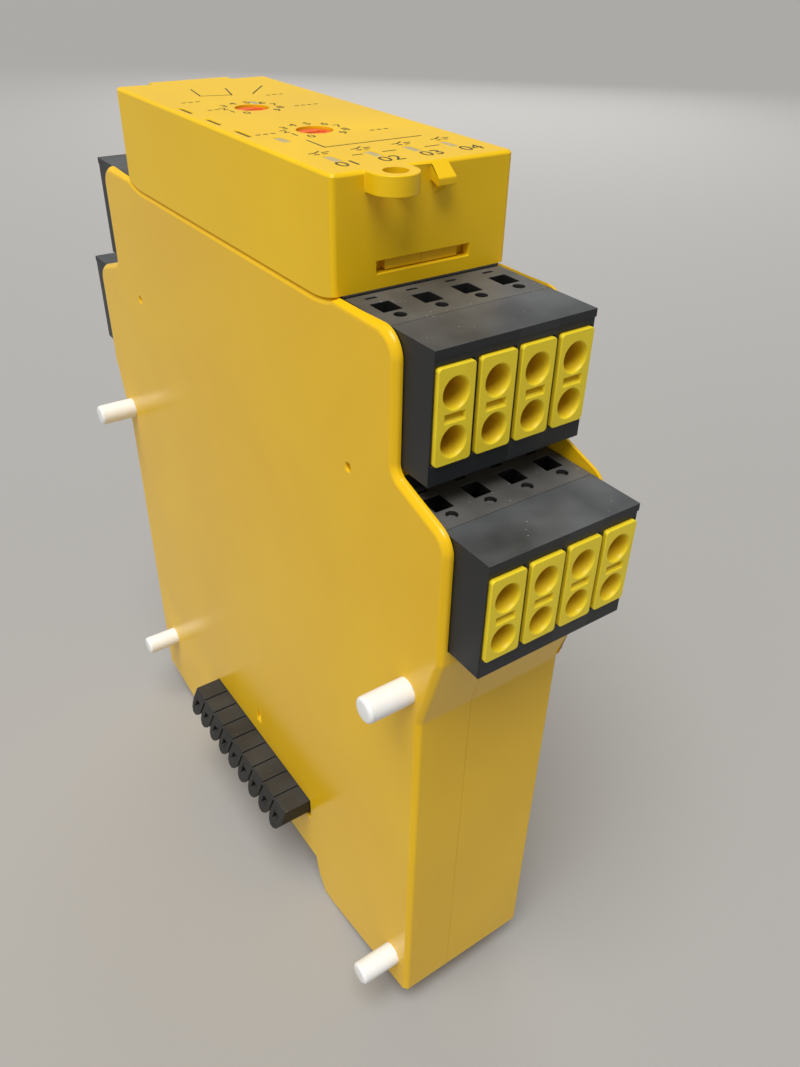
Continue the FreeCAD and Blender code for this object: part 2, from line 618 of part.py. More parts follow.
def front_cap():
    """Five-sided cover with its eyelet, finger tab, far lug, snap windows and face openings."""
    top = HOUSING_DEPTH
    bottom = PANEL_TOP
    cap = box(-CAP_HALF_WIDTH, CAP_HALF_WIDTH, -CAP_HALF_LENGTH, CAP_HALF_LENGTH, bottom, top)
    upright_edges = [e for e in cap.Edges if e.BoundBox.ZLength > CAP_RISE / 2]
    cap = cap.makeFillet(CAP_CORNER, upright_edges)
    top_edges = [e for e in cap.Edges if e.BoundBox.ZMin > top - 0.01]
    cap = cap.makeChamfer(CAP_BREAK, top_edges)
    x_in = CAP_HALF_WIDTH - CAP_WALL
    y_in = CAP_HALF_LENGTH - CAP_WALL
    cap = cap.cut(box(-x_in, x_in, -y_in, y_in, 0, top - CAP_TOP_WALL))

    face_y = -CAP_HALF_LENGTH
    eye_y = face_y - EYELET_OUT
    ring = rod(EYELET_RADIUS, (EYELET_X, eye_y, top - EYELET_HEIGHT), (EYELET_X, eye_y, top))
    root = box(EYELET_X - EYELET_RADIUS, EYELET_X + EYELET_RADIUS, eye_y, face_y + CAP_WALL,
               top - EYELET_HEIGHT, top)
    cap = cap.fuse(ring).fuse(root)
    hole_y = eye_y - EYELET_HOLE_OUT
    cap = cap.cut(rod(EYELET_HOLE, (EYELET_X, hole_y, top - EYELET_HEIGHT - 1), (EYELET_X, hole_y, top + 1)))

    tip_y = face_y - TAB_REACH
    tab = slab([(face_y + CAP_WALL / 2, top, 0),
                (tip_y, top - TAB_SLOPE, TAB_ROUND),
                (tip_y, top - TAB_SLOPE - TAB_TIP, TAB_ROUND),
                (face_y + CAP_WALL / 2, top - TAB_ROOT, 0)],
               TAB_X - TAB_WIDTH / 2, TAB_X + TAB_WIDTH / 2)
    rib = slab([(face_y + CAP_WALL / 2, top - TAB_TIP, 0),
                (tip_y + TAB_RIB_SETBACK, top - TAB_SLOPE - TAB_TIP, 0),
                (face_y + CAP_WALL / 2, top - TAB_RIB_DROP, 0)],
               TAB_X - TAB_RIB_WIDTH / 2, TAB_X + TAB_RIB_WIDTH / 2)
    cap = cap.fuse(tab).fuse(rib)

    lug = box(-LUG_WIDTH / 2, LUG_WIDTH / 2, CAP_HALF_LENGTH - CAP_WALL / 2,
              CAP_HALF_LENGTH + LUG_REACH, top - LUG_HEIGHT, top)
    lug_edges = [e for e in lug.Edges if e.BoundBox.YMin > CAP_HALF_LENGTH + LUG_REACH - 0.01]
    cap = cap.fuse(lug.makeChamfer(CAP_BREAK, lug_edges))

    window_top = top - SNAP_WINDOW_DROP
    for end in (-1, 1):
        cap = cap.cut(box(-SNAP_WINDOW / 2, SNAP_WINDOW / 2, end * (y_in - 1), end * (CAP_HALF_LENGTH + 1),
                          window_top - SNAP_WINDOW_HEIGHT, window_top))
    for y in DIAL_YS:
        cap = cap.cut(rod(DIAL_DIAMETER / 2 + DIAL_CLEARANCE, (DIAL_X, y, top - CAP_TOP_WALL - 1),
                          (DIAL_X, y, top + 1)))
    for x, y in lamp_places():
        cap = cap.cut(box(x - LAMP_WIDTH / 2 - LAMP_CLEARANCE, x + LAMP_WIDTH / 2 + LAMP_CLEARANCE,
                          y - LAMP_LENGTH / 2 - LAMP_CLEARANCE, y + LAMP_LENGTH / 2 + LAMP_CLEARANCE,
                          top - CAP_TOP_WALL - 1, top + 1))
    for y in GROOVE_YS:
        cap = cap.cut(box(GROOVE_X - GROOVE_WIDTH / 2, GROOVE_X + GROOVE_WIDTH / 2,
                          y - GROOVE_LENGTH / 2, y + GROOVE_LENGTH / 2, top - GROOVE_DEPTH, top + 1))
    save("front_cap", cap)


def lamp_places():
    """Centres of the lamp windows: a row along the output edge and two by the dials."""
    row = [(LAMP_ROW_X + (i - (LAMP_COUNT - 1) / 2) * LAMP_PITCH, LAMP_ROW_Y)
           for i in range(LAMP_COUNT)]
    return row + [CORNER_LAMP, DIAL_LAMP]


# ---------------------------------------------------------------- terminal plugs
def entry_outline(x, y, z, scale):
    """Corners of a wire entry's upright oval, at a scale of its mouth."""
    wide = Vector(ENTRY_WIDTH / 2 * scale, 0, 0)
    high = Vector(0, 0, ENTRY_HEIGHT / 2 * scale)
    return ring_points(Vector(x, y, z), wide, high, ENTRY_SIDES)


def funnel(x, mouth_y, throat_y, z):
    """Wire entry that narrows from its mouth to its throat."""
    return frustum(entry_outline(x, mouth_y, z, 1), entry_outline(x, throat_y, z, ENTRY_THROAT))


def dimple(x, y, top):
    """Shallow pit in the top of a plug, for a test probe."""
    radius = DIMPLE_DIAMETER / 2
    rim = ring_points(Vector(x, y, top - DIMPLE_DEPTH), Vector(radius, 0, 0), Vector(0, radius, 0),
                      DIMPLE_SIDES)
    return Part.Face(Part.makePolygon(rim)).extrude(Vector(0, 0, DIMPLE_DEPTH + 1))


def plug_middle(top):
    """Height of the row of header pins, midway up a plug."""
    return top - PLUG_HEIGHT / 2


def insert_span(top):
    """Lowest and highest Z of the inserts in a plug."""
    middle = plug_middle(top) + INSERT_RISE
    return middle - INSERT_HEIGHT / 2, middle + INSERT_HEIGHT / 2


def plug_cover(front_y, top):
    """Smooth front cover with a lip along its top edge and a stepped window for each insert."""
    bottom = top - PLUG_HEIGHT
    cover = box(-PLUG_HALF_WIDTH, PLUG_HALF_WIDTH, front_y, front_y + COVER_LENGTH, bottom, top)
    lip = slab([(front_y + 1.0, top, 0),
                (front_y - LIP_REACH, top, 0.35),
                (front_y - LIP_REACH, top - LIP_HEIGHT, 0.35),
                (front_y + 1.0, top - LIP_HEIGHT, 0)],
               -PLUG_HALF_WIDTH, PLUG_HALF_WIDTH)
    cover = cover.fuse(lip).removeSplitter()
    insert_bottom, insert_top = insert_span(top)
    for x in POLE_XS:
        half = INSERT_WIDTH / 2 + INSERT_CLEARANCE
        cover = cover.cut(box(x - half, x + half, front_y - 1, front_y + INSERT_FLANGE,
                              insert_bottom - INSERT_CLEARANCE, insert_top + INSERT_CLEARANCE))
        neck = INSERT_NECK / 2 + INSERT_CLEARANCE
        step = INSERT_STEP - INSERT_CLEARANCE
        cover = cover.cut(box(x - neck, x + neck, front_y, front_y + COVER_LENGTH + 1,
                              insert_bottom + step, insert_top - step))
    return cover


def wire_entries(front_y, top):
    """Four yellow inserts, each with two funnels and a test slot between them."""
    solids = []
    insert_bottom, insert_top = insert_span(top)
    mouth_y = front_y - INSERT_PROUD
    for x in POLE_XS:
        plate = box(x - INSERT_WIDTH / 2, x + INSERT_WIDTH / 2, mouth_y, front_y + INSERT_FLANGE,
                    insert_bottom, insert_top)
        neck = box(x - INSERT_NECK / 2, x + INSERT_NECK / 2, front_y + INSERT_FLANGE,
                   front_y + COVER_LENGTH, insert_bottom + INSERT_STEP, insert_top - INSERT_STEP)
        insert = plate.fuse(neck)
        for rise in ENTRY_RISES:
            insert = insert.cut(funnel(x, mouth_y, front_y + COVER_LENGTH, plug_middle(top) + rise))
        slot_z = plug_middle(top) + TEST_SLOT_RISE
        insert = insert.cut(box(x - TEST_SLOT_WIDTH / 2, x + TEST_SLOT_WIDTH / 2, mouth_y - 1,
                                mouth_y + TEST_SLOT_DEPTH, slot_z - TEST_SLOT_HEIGHT / 2,
                                slot_z + TEST_SLOT_HEIGHT / 2))
        solids.append(insert)
    return solids


def plug_body(front_y, top):
    """Moulded body behind the cover, with a chamber, release hole and pin hole per pole."""
    bottom = top - PLUG_HEIGHT
    start = front_y + COVER_LENGTH
    back = front_y + PLUG_LENGTH
    body = box(-PLUG_HALF_WIDTH, PLUG_HALF_WIDTH, start, back, bottom, top)
    for x in POLE_XS:
        half = (POLE_PITCH - POLE_WALL) / 2
        body = body.cut(box(x - half, x + half, start, back - PLUG_REAR_WALL,
                            bottom + PLUG_FLOOR, top - PLUG_ROOF))
        release_y = front_y + RELEASE_BACK
        body = body.cut(box(x - RELEASE_WIDTH / 2, x + RELEASE_WIDTH / 2,
                            release_y - RELEASE_LENGTH / 2, release_y + RELEASE_LENGTH / 2,
                            top - PLUG_ROOF - 1, top + 1))
        body = body.cut(dimple(x, front_y + DIMPLE_BACK, top))
        coding_y = front_y + CODING_BACK
        body = body.cut(box(x - CODING_WIDTH / 2, x + CODING_WIDTH / 2, coding_y - CODING_LENGTH / 2,
                            coding_y + CODING_LENGTH / 2, top - CODING_DEPTH, top + 1))
        body = body.cut(pin_hole(x, back - PLUG_REAR_WALL - 1, back + 1, plug_middle(top)))
    return body


def pin_hole(x, y0, y1, pin_z):
    """Square hole that a header pin passes through."""
    half = PIN_SIZE / 2 + PIN_CLEARANCE
    return box(x - half, x + half, y0, y1, pin_z - half, pin_z + half)


def current_bars(front_y, top):
    """One bent copper bar per pole: an upright with a shelf under each wire entry."""
    back = front_y + PLUG_LENGTH - PLUG_REAR_WALL
    front = front_y + COVER_LENGTH + BAR_SETBACK
    half = SPRING_WIDTH / 2
    solids = []
    for x in POLE_XS:
        bar = box(x + PIN_SIZE / 2 + PIN_CLEARANCE, x + half, back - BAR_THICKNESS, back, shelf_z(top, 1),
                  shelf_z(top, 0) + SHELF_UPRIGHT)
        for row in range(len(ENTRY_RISES)):
            shelf = shelf_z(top, row)
            bar = bar.fuse(box(x - half, x + half, front, back, shelf, shelf + BAR_THICKNESS))
        solids.append(bar.removeSplitter())
    return solids


def shelf_z(top, row):
    """Underside of the current bar's shelf below one row of wire entries."""
    return plug_middle(top) + ENTRY_RISES[row] - SHELF_DROP


def clamp_springs(front_y, top):
    """Two folded leaf springs per pole, each pressing a wire onto its shelf."""
    back = front_y + PLUG_LENGTH - PLUG_REAR_WALL - BAR_THICKNESS
    front = front_y + COVER_LENGTH + BAR_SETBACK
    half = SPRING_WIDTH / 2
    solids = []
    for x in POLE_XS:
        for row, rise in enumerate(ENTRY_RISES):
            low = shelf_z(top, row) + BAR_THICKNESS
            high = plug_middle(top) + rise + SPRING_RISE
            strip = [(back, high, 0), (front + SPRING_STRIP * 2, high, 0), (back - SPRING_LEAN, low, 0),
                     (back - SPRING_LEAN - SPRING_STRIP, low, 0), (front, high + SPRING_STRIP, 0),
                     (back, high + SPRING_STRIP, 0)]
            solids.append(slab(strip, x - half, x + half))
    return solids


def header(front_y, top, bottom):
    """Board header: a block that fills the opening behind a plug."""
    return box(-INNER_X + PLUG_GAP, INNER_X - PLUG_GAP, front_y, -HEADER_BACK_Y, bottom, top)


def header_pins(front_y, pin_z):
    """Square contact pins, from inside the plug to the terminal board."""
    half = PIN_SIZE / 2
    tip = front_y - PLUG_GAP - PIN_REACH
    solids = []
    for x in POLE_XS:
        pin = box(x - half, x + half, tip, -TERMINAL_BOARD_Y + PIN_TAIL, pin_z - half, pin_z + half)
        tip_edges = [e for e in pin.Edges if e.BoundBox.YMax < tip + 0.01]
        solids.append(pin.makeChamfer(PIN_POINT, tip_edges))
    return solids


def terminals():
    """The four plugs with their headers, one pair at each end of the module."""
    rows = {
        "front": (FRONT_PLUG_REACH, FRONT_PLUG_TOP, FRONT_HEADER_Y, SHELF_TOP_Z, PANEL_TOP),
        "rear": (REAR_PLUG_REACH, REAR_PLUG_TOP, REAR_HEADER_Y, SHELF_Z,
                 SHELF_TOP_Z - END_WALL - PLUG_GAP),
    }
    for end in ("output", "input"):
        for row, (reach, top, header_y, bay_bottom, bay_top) in rows.items():
            place = end + "_" + row
            front_y = -reach
            pins = header_pins(-header_y, plug_middle(top))
            block = header(-header_y, bay_top, bay_bottom)
            for pin in pins:
                block = block.cut(pin)
            save("plug_cover_" + place, at_end(plug_cover(front_y, top), end))
            save("plug_body_" + place, at_end(plug_body(front_y, top), end))
            save("wire_entries_" + place, *[at_end(s, end) for s in wire_entries(front_y, top)])
            save("current_bars_" + place, *[at_end(s, end) for s in current_bars(front_y, top)])
            save("clamp_springs_" + place, *[at_end(s, end) for s in clamp_springs(front_y, top)])
            save("header_" + place, at_end(block, end))
            save("header_pins_" + place, *[at_end(s, end) for s in pins])


# ---------------------------------------------------------------- pins and bus
def locating_pins():
    for place, (y, z) in LOCATING_PINS.items():
        pin = rod(PIN_DIAMETER / 2, (-HALF_WIDTH - PIN_PROUD, y, z), (-HALF_WIDTH, y, z))
        tip_rims = [e for e in pin.Edges if e.BoundBox.XMax < -HALF_WIDTH - PIN_PROUD / 2]
        pin = pin.makeChamfer(PIN_BREAK, tip_rims)
        root = square_bar(-HALF_WIDTH, -HALF_WIDTH + PIN_GRIP, y, z, PIN_ROOT)
        save("locating_pin_" + place, pin.fuse(root))


def pin_sockets():
    """Bushes in the right panel that take the locating pins of the next module."""
    bushes = []
    near_x = HALF_WIDTH - SOCKET_DEPTH
    radius = PIN_DIAMETER / 2 + SOCKET_FIT
    for y, z in LOCATING_PINS.values():
        bush = square_bar(near_x, HALF_WIDTH, y, z, PIN_DIAMETER + 2 * SOCKET_WALL)
        bushes.append(bush.cut(rod(radius, (near_x - 1, y, z), (HALF_WIDTH + 1, y, z))))
    save("pin_sockets", *bushes)


def bus_centres():
    return [BUS_Y + (i - (BUS_WAYS - 1) / 2) * BUS_PITCH for i in range(BUS_WAYS)]


def bus_connector():
    outer_x = -HALF_WIDTH - BUS_PROUD
    half = BUS_WAYS * BUS_PITCH / 2
    bottom_z = BUS_TOP_Z - BUS_HEIGHT
    lobe_z = bottom_z + BUS_LOBE_RADIUS
    ways = bus_centres()

    # plug: nine blocks in a row, flat on top and lobed underneath
    plug = box(outer_x, MAIN_BOARD_X, BUS_Y - half, BUS_Y + half, lobe_z, BUS_TOP_Z)
    for y in ways:
        rim = ring_points(Vector(outer_x, y, lobe_z), Vector(0, BUS_LOBE_RADIUS, 0),
                          Vector(0, 0, BUS_LOBE_RADIUS), BUS_LOBE_SIDES)
        plug = plug.fuse(Part.Face(Part.makePolygon(rim)).extrude(Vector(MAIN_BOARD_X - outer_x, 0, 0)))
    for y in ways[1:]:
        groove_y = y - BUS_PITCH / 2
        plug = plug.cut(box(outer_x - 1, -HALF_WIDTH, groove_y - BUS_GROOVE / 2,
                            groove_y + BUS_GROOVE / 2, BUS_TOP_Z - BUS_GROOVE, BUS_TOP_Z + 1))
    for y in ways:
        plug = plug.cut(box(outer_x - 1, -HALF_WIDTH, y - BUS_HOLE / 2, y + BUS_HOLE / 2,
                            lobe_z - BUS_HOLE / 2, lobe_z + BUS_HOLE / 2))

    # socket: a box with one cavity that takes the next module's plug
    cavity_x = HALF_WIDTH - BUS_SOCKET_DEPTH
    half += BUS_GAP
    low = bottom_z - BUS_GAP
    high = BUS_TOP_Z + BUS_GAP
    socket = box(cavity_x - BUS_SOCKET_WALL, HALF_WIDTH, BUS_Y - half - BUS_SOCKET_WALL,
                 BUS_Y + half + BUS_SOCKET_WALL, low - BUS_SOCKET_WALL, high + BUS_SOCKET_WALL)
    socket = socket.cut(box(cavity_x, HALF_WIDTH + 1, BUS_Y - half, BUS_Y + half, low, high))

    contacts = []
    edge = BUS_CONTACT / 2
    for y in ways:
        contact = box(-HALF_WIDTH - BUS_PROUD / 2, HALF_WIDTH - BUS_CONTACT_SETBACK, y - edge, y + edge,
                      lobe_z - edge, lobe_z + edge)
        contacts.append(contact)
        plug = plug.cut(contact)
        socket = socket.cut(contact)
    save("bus_plug", plug)
    save("bus_socket", socket)
    save("bus_contacts", *contacts)
    return contacts


# ---------------------------------------------------------------- boards and what they carry
def upright_board(x0, bottom):
    """Board beside a side panel: full length below, narrower above, with a tab to each terminal board."""
    x1 = x0 + BOARD_THICKNESS
    half_top = TERMINAL_BOARD_Y - PIN_TAIL - BOARD_GAP
    board = box(x0, x1, -BOARD_HALF_LENGTH, BOARD_HALF_LENGTH, bottom, SHELF_Z - END_WALL - BOARD_EDGE_GAP)
    board = board.fuse(box(x0, x1, -half_top, half_top, bottom, BOARD_TOP))
    tab_z = (plug_middle(FRONT_PLUG_TOP) + plug_middle(REAR_PLUG_TOP) - BOARD_TAB) / 2
    board = board.fuse(box(x0, x1, -TERMINAL_BOARD_Y, TERMINAL_BOARD_Y, tab_z, tab_z + BOARD_TAB))
    return board.removeSplitter()


def boards(contacts):
    main = upright_board(MAIN_BOARD_X, MAIN_BOARD_BOTTOM)
    for contact in contacts:
        main = main.cut(contact)
    save("main_board", main)
    save("power_board", upright_board(POWER_BOARD_X, POWER_BOARD_BOTTOM))

    low = SHELF_Z + TERMINAL_BOARD_RISE
    for end in ("output", "input"):
        board = box(-INNER_X + BOARD_EDGE_GAP, INNER_X - BOARD_EDGE_GAP, -TERMINAL_BOARD_Y - BOARD_THICKNESS,
                    -TERMINAL_BOARD_Y, low, BOARD_TOP)
        for top, header_y in ((FRONT_PLUG_TOP, FRONT_HEADER_Y), (REAR_PLUG_TOP, REAR_HEADER_Y)):
            for pin in header_pins(-header_y, plug_middle(top)):
                board = board.cut(pin)
        save("terminal_board_" + end, at_end(board, end))

    save("display_board", box(-COLLAR_HALF_WIDTH, COLLAR_HALF_WIDTH, -COLLAR_HALF_LENGTH, COLLAR_HALF_LENGTH,
                              DISPLAY_BOARD_Z, DISPLAY_BOARD_Z + BOARD_THICKNESS))

    # pin strips: between the two upright boards, and up to the display board
    face_x = MAIN_BOARD_X + BOARD_THICKNESS
    link_z = SHELF_Z - LINK_DROP
    save("board_link", box(face_x, POWER_BOARD_X, LINK_START, LINK_START + LINK_LENGTH, link_z,
                           link_z + LINK_HEIGHT))
    save("display_link", box(face_x, face_x + DISPLAY_LINK_WIDTH, -DISPLAY_LINK_LENGTH / 2,
                             DISPLAY_LINK_LENGTH / 2, BOARD_TOP - DISPLAY_LINK_LAP, DISPLAY_BOARD_Z))


def part_on_board(size, start_y, low):
    """Block standing on the main board's inner face."""
    face_x = MAIN_BOARD_X + BOARD_THICKNESS
    height, length, rise = size
    return box(face_x, face_x + height, start_y, start_y + length, low, low + rise)


def components():
    """What the main board carries: two force-guided relays and the parts round them."""
    for number, start_y in enumerate(RELAY_STARTS, 1):
        save("safety_relay_%d" % number, part_on_board(RELAY_SIZE, start_y, RELAY_BOTTOM))
    save("film_capacitors", *[part_on_board(FILM_SIZE, FILM_START, FILM_BOTTOM + i * FILM_PITCH)
                              for i in range(FILM_COUNT)])
    save("logic_chips", *[part_on_board(CHIP_SIZE, start_y, BOARD_TOP - CHIP_DROP)
                          for start_y in CHIP_STARTS])
    save("dc_converter", part_on_board(CONVERTER_SIZE, CONVERTER_START, CONVERTER_BOTTOM))


# ---------------------------------------------------------------- controls and lamps
def controls():
    board_top = DISPLAY_BOARD_Z + BOARD_THICKNESS
    case_top = board_top + SWITCH_HEIGHT
    rotor_top = HOUSING_DEPTH - DIAL_SINK
    for place, y in zip(("output", "input"), DIAL_YS):
        case = box(DIAL_X - SWITCH_SIZE / 2, DIAL_X + SWITCH_SIZE / 2, y - SWITCH_SIZE / 2,
                   y + SWITCH_SIZE / 2, board_top, case_top)
        well_floor = board_top + SWITCH_FLOOR
        case = case.cut(rod(DIAL_DIAMETER / 2 + DIAL_FIT, (DIAL_X, y, well_floor),
                            (DIAL_X, y, case_top + 1)))
        save("rotary_switch_" + place, case)
        rotor = rod(DIAL_DIAMETER / 2, (DIAL_X, y, well_floor + DIAL_FIT), (DIAL_X, y, rotor_top))
        # screwdriver slot with an arrow head at one end
        floor = rotor_top - DIAL_SLOT_DEPTH
        slot = box(DIAL_X + DIAL_SLOT[0], DIAL_X + DIAL_SLOT[1], y - DIAL_SLOT_WIDTH / 2,
                   y + DIAL_SLOT_WIDTH / 2, floor, rotor_top + 1)
        base = Vector(DIAL_X + DIAL_ARROW[0], y, floor)
        across = Vector(0, DIAL_ARROW_HALF, 0)
        point = Vector(DIAL_X + DIAL_ARROW[1], y, floor)
        arrow = Part.Face(Part.makePolygon([base - across, point, base + across, base - across]))
        rotor = rotor.cut(slot.fuse(arrow.extrude(Vector(0, 0, DIAL_SLOT_DEPTH + 1))))
        save("dial_" + place, rotor)

    lamps(board_top, case_top)


def lamps(board_top, case_top):
    """Lamps on the display board and the clear guides that bring their light to the front face."""
    lamp_top = board_top + LAMP_HEIGHT
    guide_top = HOUSING_DEPTH - LAMP_SINK
    half_w = LAMP_WIDTH / 2
    half_l = LAMP_LENGTH / 2
    row_half = (LAMP_COUNT - 1) / 2 * LAMP_PITCH + half_w
    row = box(LAMP_ROW_X - row_half, LAMP_ROW_X + row_half, LAMP_ROW_Y - half_l, LAMP_ROW_Y + half_l,
              lamp_top, lamp_top + GUIDE_WEB)
    guides = []
    chips = []
    for index, (x, y) in enumerate(lamp_places()):
        prong = box(x - half_w, x + half_w, y - half_l, y + half_l, lamp_top, guide_top)
        lamp_y = y
        if (x, y) == DIAL_LAMP:
            # this guide steps over the rotary switch beside it
            lamp_y = DIAL_YS[1] + SWITCH_SIZE / 2 + LAMP_STEP_GAP + half_l
            step_z = case_top + LAMP_STEP_GAP
            prong = box(x - half_w, x + half_w, y - half_l, y + half_l, step_z, guide_top)
            prong = prong.fuse(box(x - half_w, x + half_w, y - half_l, lamp_y + half_l, step_z,
                                   HOUSING_DEPTH - CAP_TOP_WALL - LAMP_STEP_GAP))
            prong = prong.fuse(box(x - half_w, x + half_w, lamp_y - half_l, lamp_y + half_l, lamp_top,
                                   step_z + LAMP_STEP_GAP)).removeSplitter()
        if index < LAMP_COUNT:
            row = row.fuse(prong)
        else:
            guides.append(prong)
        chips.append(box(x - LAMP_CHIP[0] / 2, x + LAMP_CHIP[0] / 2, lamp_y - LAMP_CHIP[1] / 2,
                         lamp_y + LAMP_CHIP[1] / 2, board_top, lamp_top))
    save("light_guides", row.removeSplitter(), *guides)
    save("status_lamps", *chips)


# ---------------------------------------------------------------- rail latch
def rail_latch():
    """Sliding latch at the input end: bar, pull end, and a toothed arm under the rail."""
    low = LATCH_LOW
    high = LATCH_HIGH
    arm_y = NOTCH_HALF + NOTCH_LEAD
    bar = box(-LATCH_HALF_WIDTH, LATCH_HALF_WIDTH, arm_y, FOOT_HALF + LATCH_PULL, low, high)
    tip_y = RAIL_WIDTH / 2 - HOOK_REACH
    arm = slab([(arm_y + LATCH_ARM, high, 0),
                (arm_y + LATCH_ARM, HOOK_TOP - HOOK_DROP, 0),
                (arm_y, HOOK_TOP - HOOK_DROP, 0),
                (tip_y, HOOK_TOP - HOOK_DROP / 2, HOOK_ROUND),
                (tip_y, HOOK_TOP, HOOK_ROUND),
                (arm_y, HOOK_TOP, 0),
                (arm_y, high, 0)],
               -LATCH_HALF_WIDTH, LATCH_HALF_WIDTH)
    latch = bar.fuse(arm)
    post_y = latch_post_y()
    slot_half = LATCH_POST_WIDTH / 2 + LATCH_CLEARANCE
    slot_start = post_y - LATCH_SPRING_LENGTH
    slot_end = post_y + LATCH_POST_LENGTH + LATCH_CLEARANCE
    latch = latch.cut(box(-slot_half, slot_half, slot_start, slot_end, low - 1, high + 1))
    eye = box(-LATCH_EYE_WIDTH / 2, LATCH_EYE_WIDTH / 2, FOOT_HALF + LATCH_EYE_INSET[0],
              FOOT_HALF + LATCH_PULL - LATCH_EYE_INSET[1], low - 1, high + 1)
    save("rail_latch", latch.cut(eye).removeSplitter())

    # zigzag leaf spring in the latch's slot, from the slot's inner end to the post
    pitch = (post_y - slot_start) / SPRING_FOLDS
    above, below = [], []
    for i in range(SPRING_FOLDS + 1):
        y = slot_start + i * pitch
        z = low + SPRING_LEAF if i % 2 else high - SPRING_LEAF
        above.append((y, z + SPRING_LEAF / 2, 0))
        below.append((y, z - SPRING_LEAF / 2, 0))
    save("latch_spring", slab(above + below[::-1], -slot_half + LATCH_CLEARANCE, slot_half - LATCH_CLEARANCE))


left_shell()
right_shell()
front_cap()
terminals()
locating_pins()
pin_sockets()
boards(bus_connector())
components()
controls()
rail_latch()
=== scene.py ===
# %% [markdown]
# # A safety relay module, dressed in Blender
# The module clips onto a top-hat rail and watches the stop buttons and guards of a machine.
# Its solids arrive as a fixed frame, all in metres and all in their real places. This lesson
# adds what the eye needs: soft moulded edges, the finish of each plastic and metal, printed
# numbers, a little dust, and plain studio light.

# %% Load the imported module
import json
import math

import bmesh
import bpy
from mathutils import Matrix, Vector


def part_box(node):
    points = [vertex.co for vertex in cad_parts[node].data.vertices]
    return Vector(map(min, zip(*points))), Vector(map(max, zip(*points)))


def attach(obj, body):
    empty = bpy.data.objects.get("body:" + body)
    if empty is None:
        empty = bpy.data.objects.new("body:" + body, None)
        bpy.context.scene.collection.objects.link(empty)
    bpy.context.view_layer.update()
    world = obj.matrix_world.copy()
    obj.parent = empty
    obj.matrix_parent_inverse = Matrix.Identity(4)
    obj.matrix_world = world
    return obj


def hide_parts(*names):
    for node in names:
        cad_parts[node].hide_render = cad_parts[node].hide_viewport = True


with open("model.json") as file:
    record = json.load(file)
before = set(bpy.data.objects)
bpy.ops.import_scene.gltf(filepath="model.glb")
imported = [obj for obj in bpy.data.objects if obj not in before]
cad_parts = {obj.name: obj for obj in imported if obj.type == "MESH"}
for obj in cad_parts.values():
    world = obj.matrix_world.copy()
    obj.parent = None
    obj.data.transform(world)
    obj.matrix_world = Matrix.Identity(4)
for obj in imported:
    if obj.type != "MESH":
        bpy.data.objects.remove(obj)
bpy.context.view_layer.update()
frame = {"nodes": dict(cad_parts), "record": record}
nodes = frame["nodes"]
MM = 0.001

# %% [markdown]
# The module is as long as a hand, so the camera stands close, a little above its front face
# and off its left corner. A wide lens near the object gives the strong perspective of a close
# look. The near clip has to be short, or the nearest corner would be cut away.

# %% Camera
CAMERA_PLACE = (-0.056153, -0.102949, 0.141157)
HEADING, LOOK_DOWN, ROLL = -35.69, 34.791, 1.533
lens = bpy.data.cameras.new("close_camera")
lens.sensor_width = 36.0
lens.lens = 30.296
lens.clip_start = 0.005
camera = bpy.data.objects.new("close_camera", lens)
bpy.context.scene.collection.objects.link(camera)
heading = Matrix.Rotation(math.radians(HEADING), 4, "Z")
tilt = Matrix.Rotation(math.radians(90 - LOOK_DOWN), 4, "X")
roll = Matrix.Rotation(math.radians(ROLL), 4, "Z")
camera.matrix_world = Matrix.Translation(CAMERA_PLACE) @ heading @ tilt @ roll
bpy.context.scene.camera = camera
bpy.context.scene.view_settings.view_transform = "Standard"
print("camera stands", round(camera.matrix_world.translation.z / MM), "mm above the floor")

# %% [markdown]
# The floor is a plain pale sheet. To the camera and to mirrors it is pale, while the light that
# it throws back onto the module is held down, or the undersides would glow. The Light Path node
# tells the two apart. The helpers for this come first, and the finishes use them again: each
# makes one kind of node and wires it up.

# %% Helpers: wiring nodes
def node_of(tree, kind, **settings):
    """A new shader node with some of its settings changed."""
    made = tree.nodes.new(kind)
    for name, value in settings.items():
        setattr(made, name, value)
    return made


def feed(tree, socket, source):
    """Give a socket a colour, a number or the output of another node."""
    if isinstance(source, tuple):
        socket.default_value = (*source, 1)
    elif isinstance(source, float):
        socket.default_value = source
    else:
        tree.links.new(source, socket)


def math_of(tree, operation, first, second=0.0, clamp=False):
    """What a Math node makes of one or two values."""
    made = node_of(tree, "ShaderNodeMath", operation=operation, use_clamp=clamp)
    feed(tree, made.inputs[0], first)
    feed(tree, made.inputs[1], second)
    return made.outputs[0]


def mix_colours(tree, factor, first, second):
    """The second colour laid over the first by a mask."""
    mixed = node_of(tree, "ShaderNodeMix", data_type="RGBA")
    for label, source in (("Factor", factor), ("A", first), ("B", second)):
        feed(tree, mixed.inputs[label], source)
    return mixed.outputs["Result"]


def pale_to_the_eye(tree):
    """A mask that is one for camera, mirror and glass rays, and zero for scattered light."""
    path = node_of(tree, "ShaderNodeLightPath")
    total = math_of(tree, "ADD", path.outputs["Is Camera Ray"], path.outputs["Is Glossy Ray"])
    return math_of(tree, "ADD", total, path.outputs["Is Transmission Ray"], clamp=True)


def new_finish(name):
    """A new material, its node tree and its shader."""
    finish = bpy.data.materials.new(name)
    finish.use_nodes = True
    return finish, finish.node_tree, finish.node_tree.nodes["Principled BSDF"]


print("helpers:", [helper.__name__ for helper in (node_of, feed, math_of, mix_colours, new_finish)])
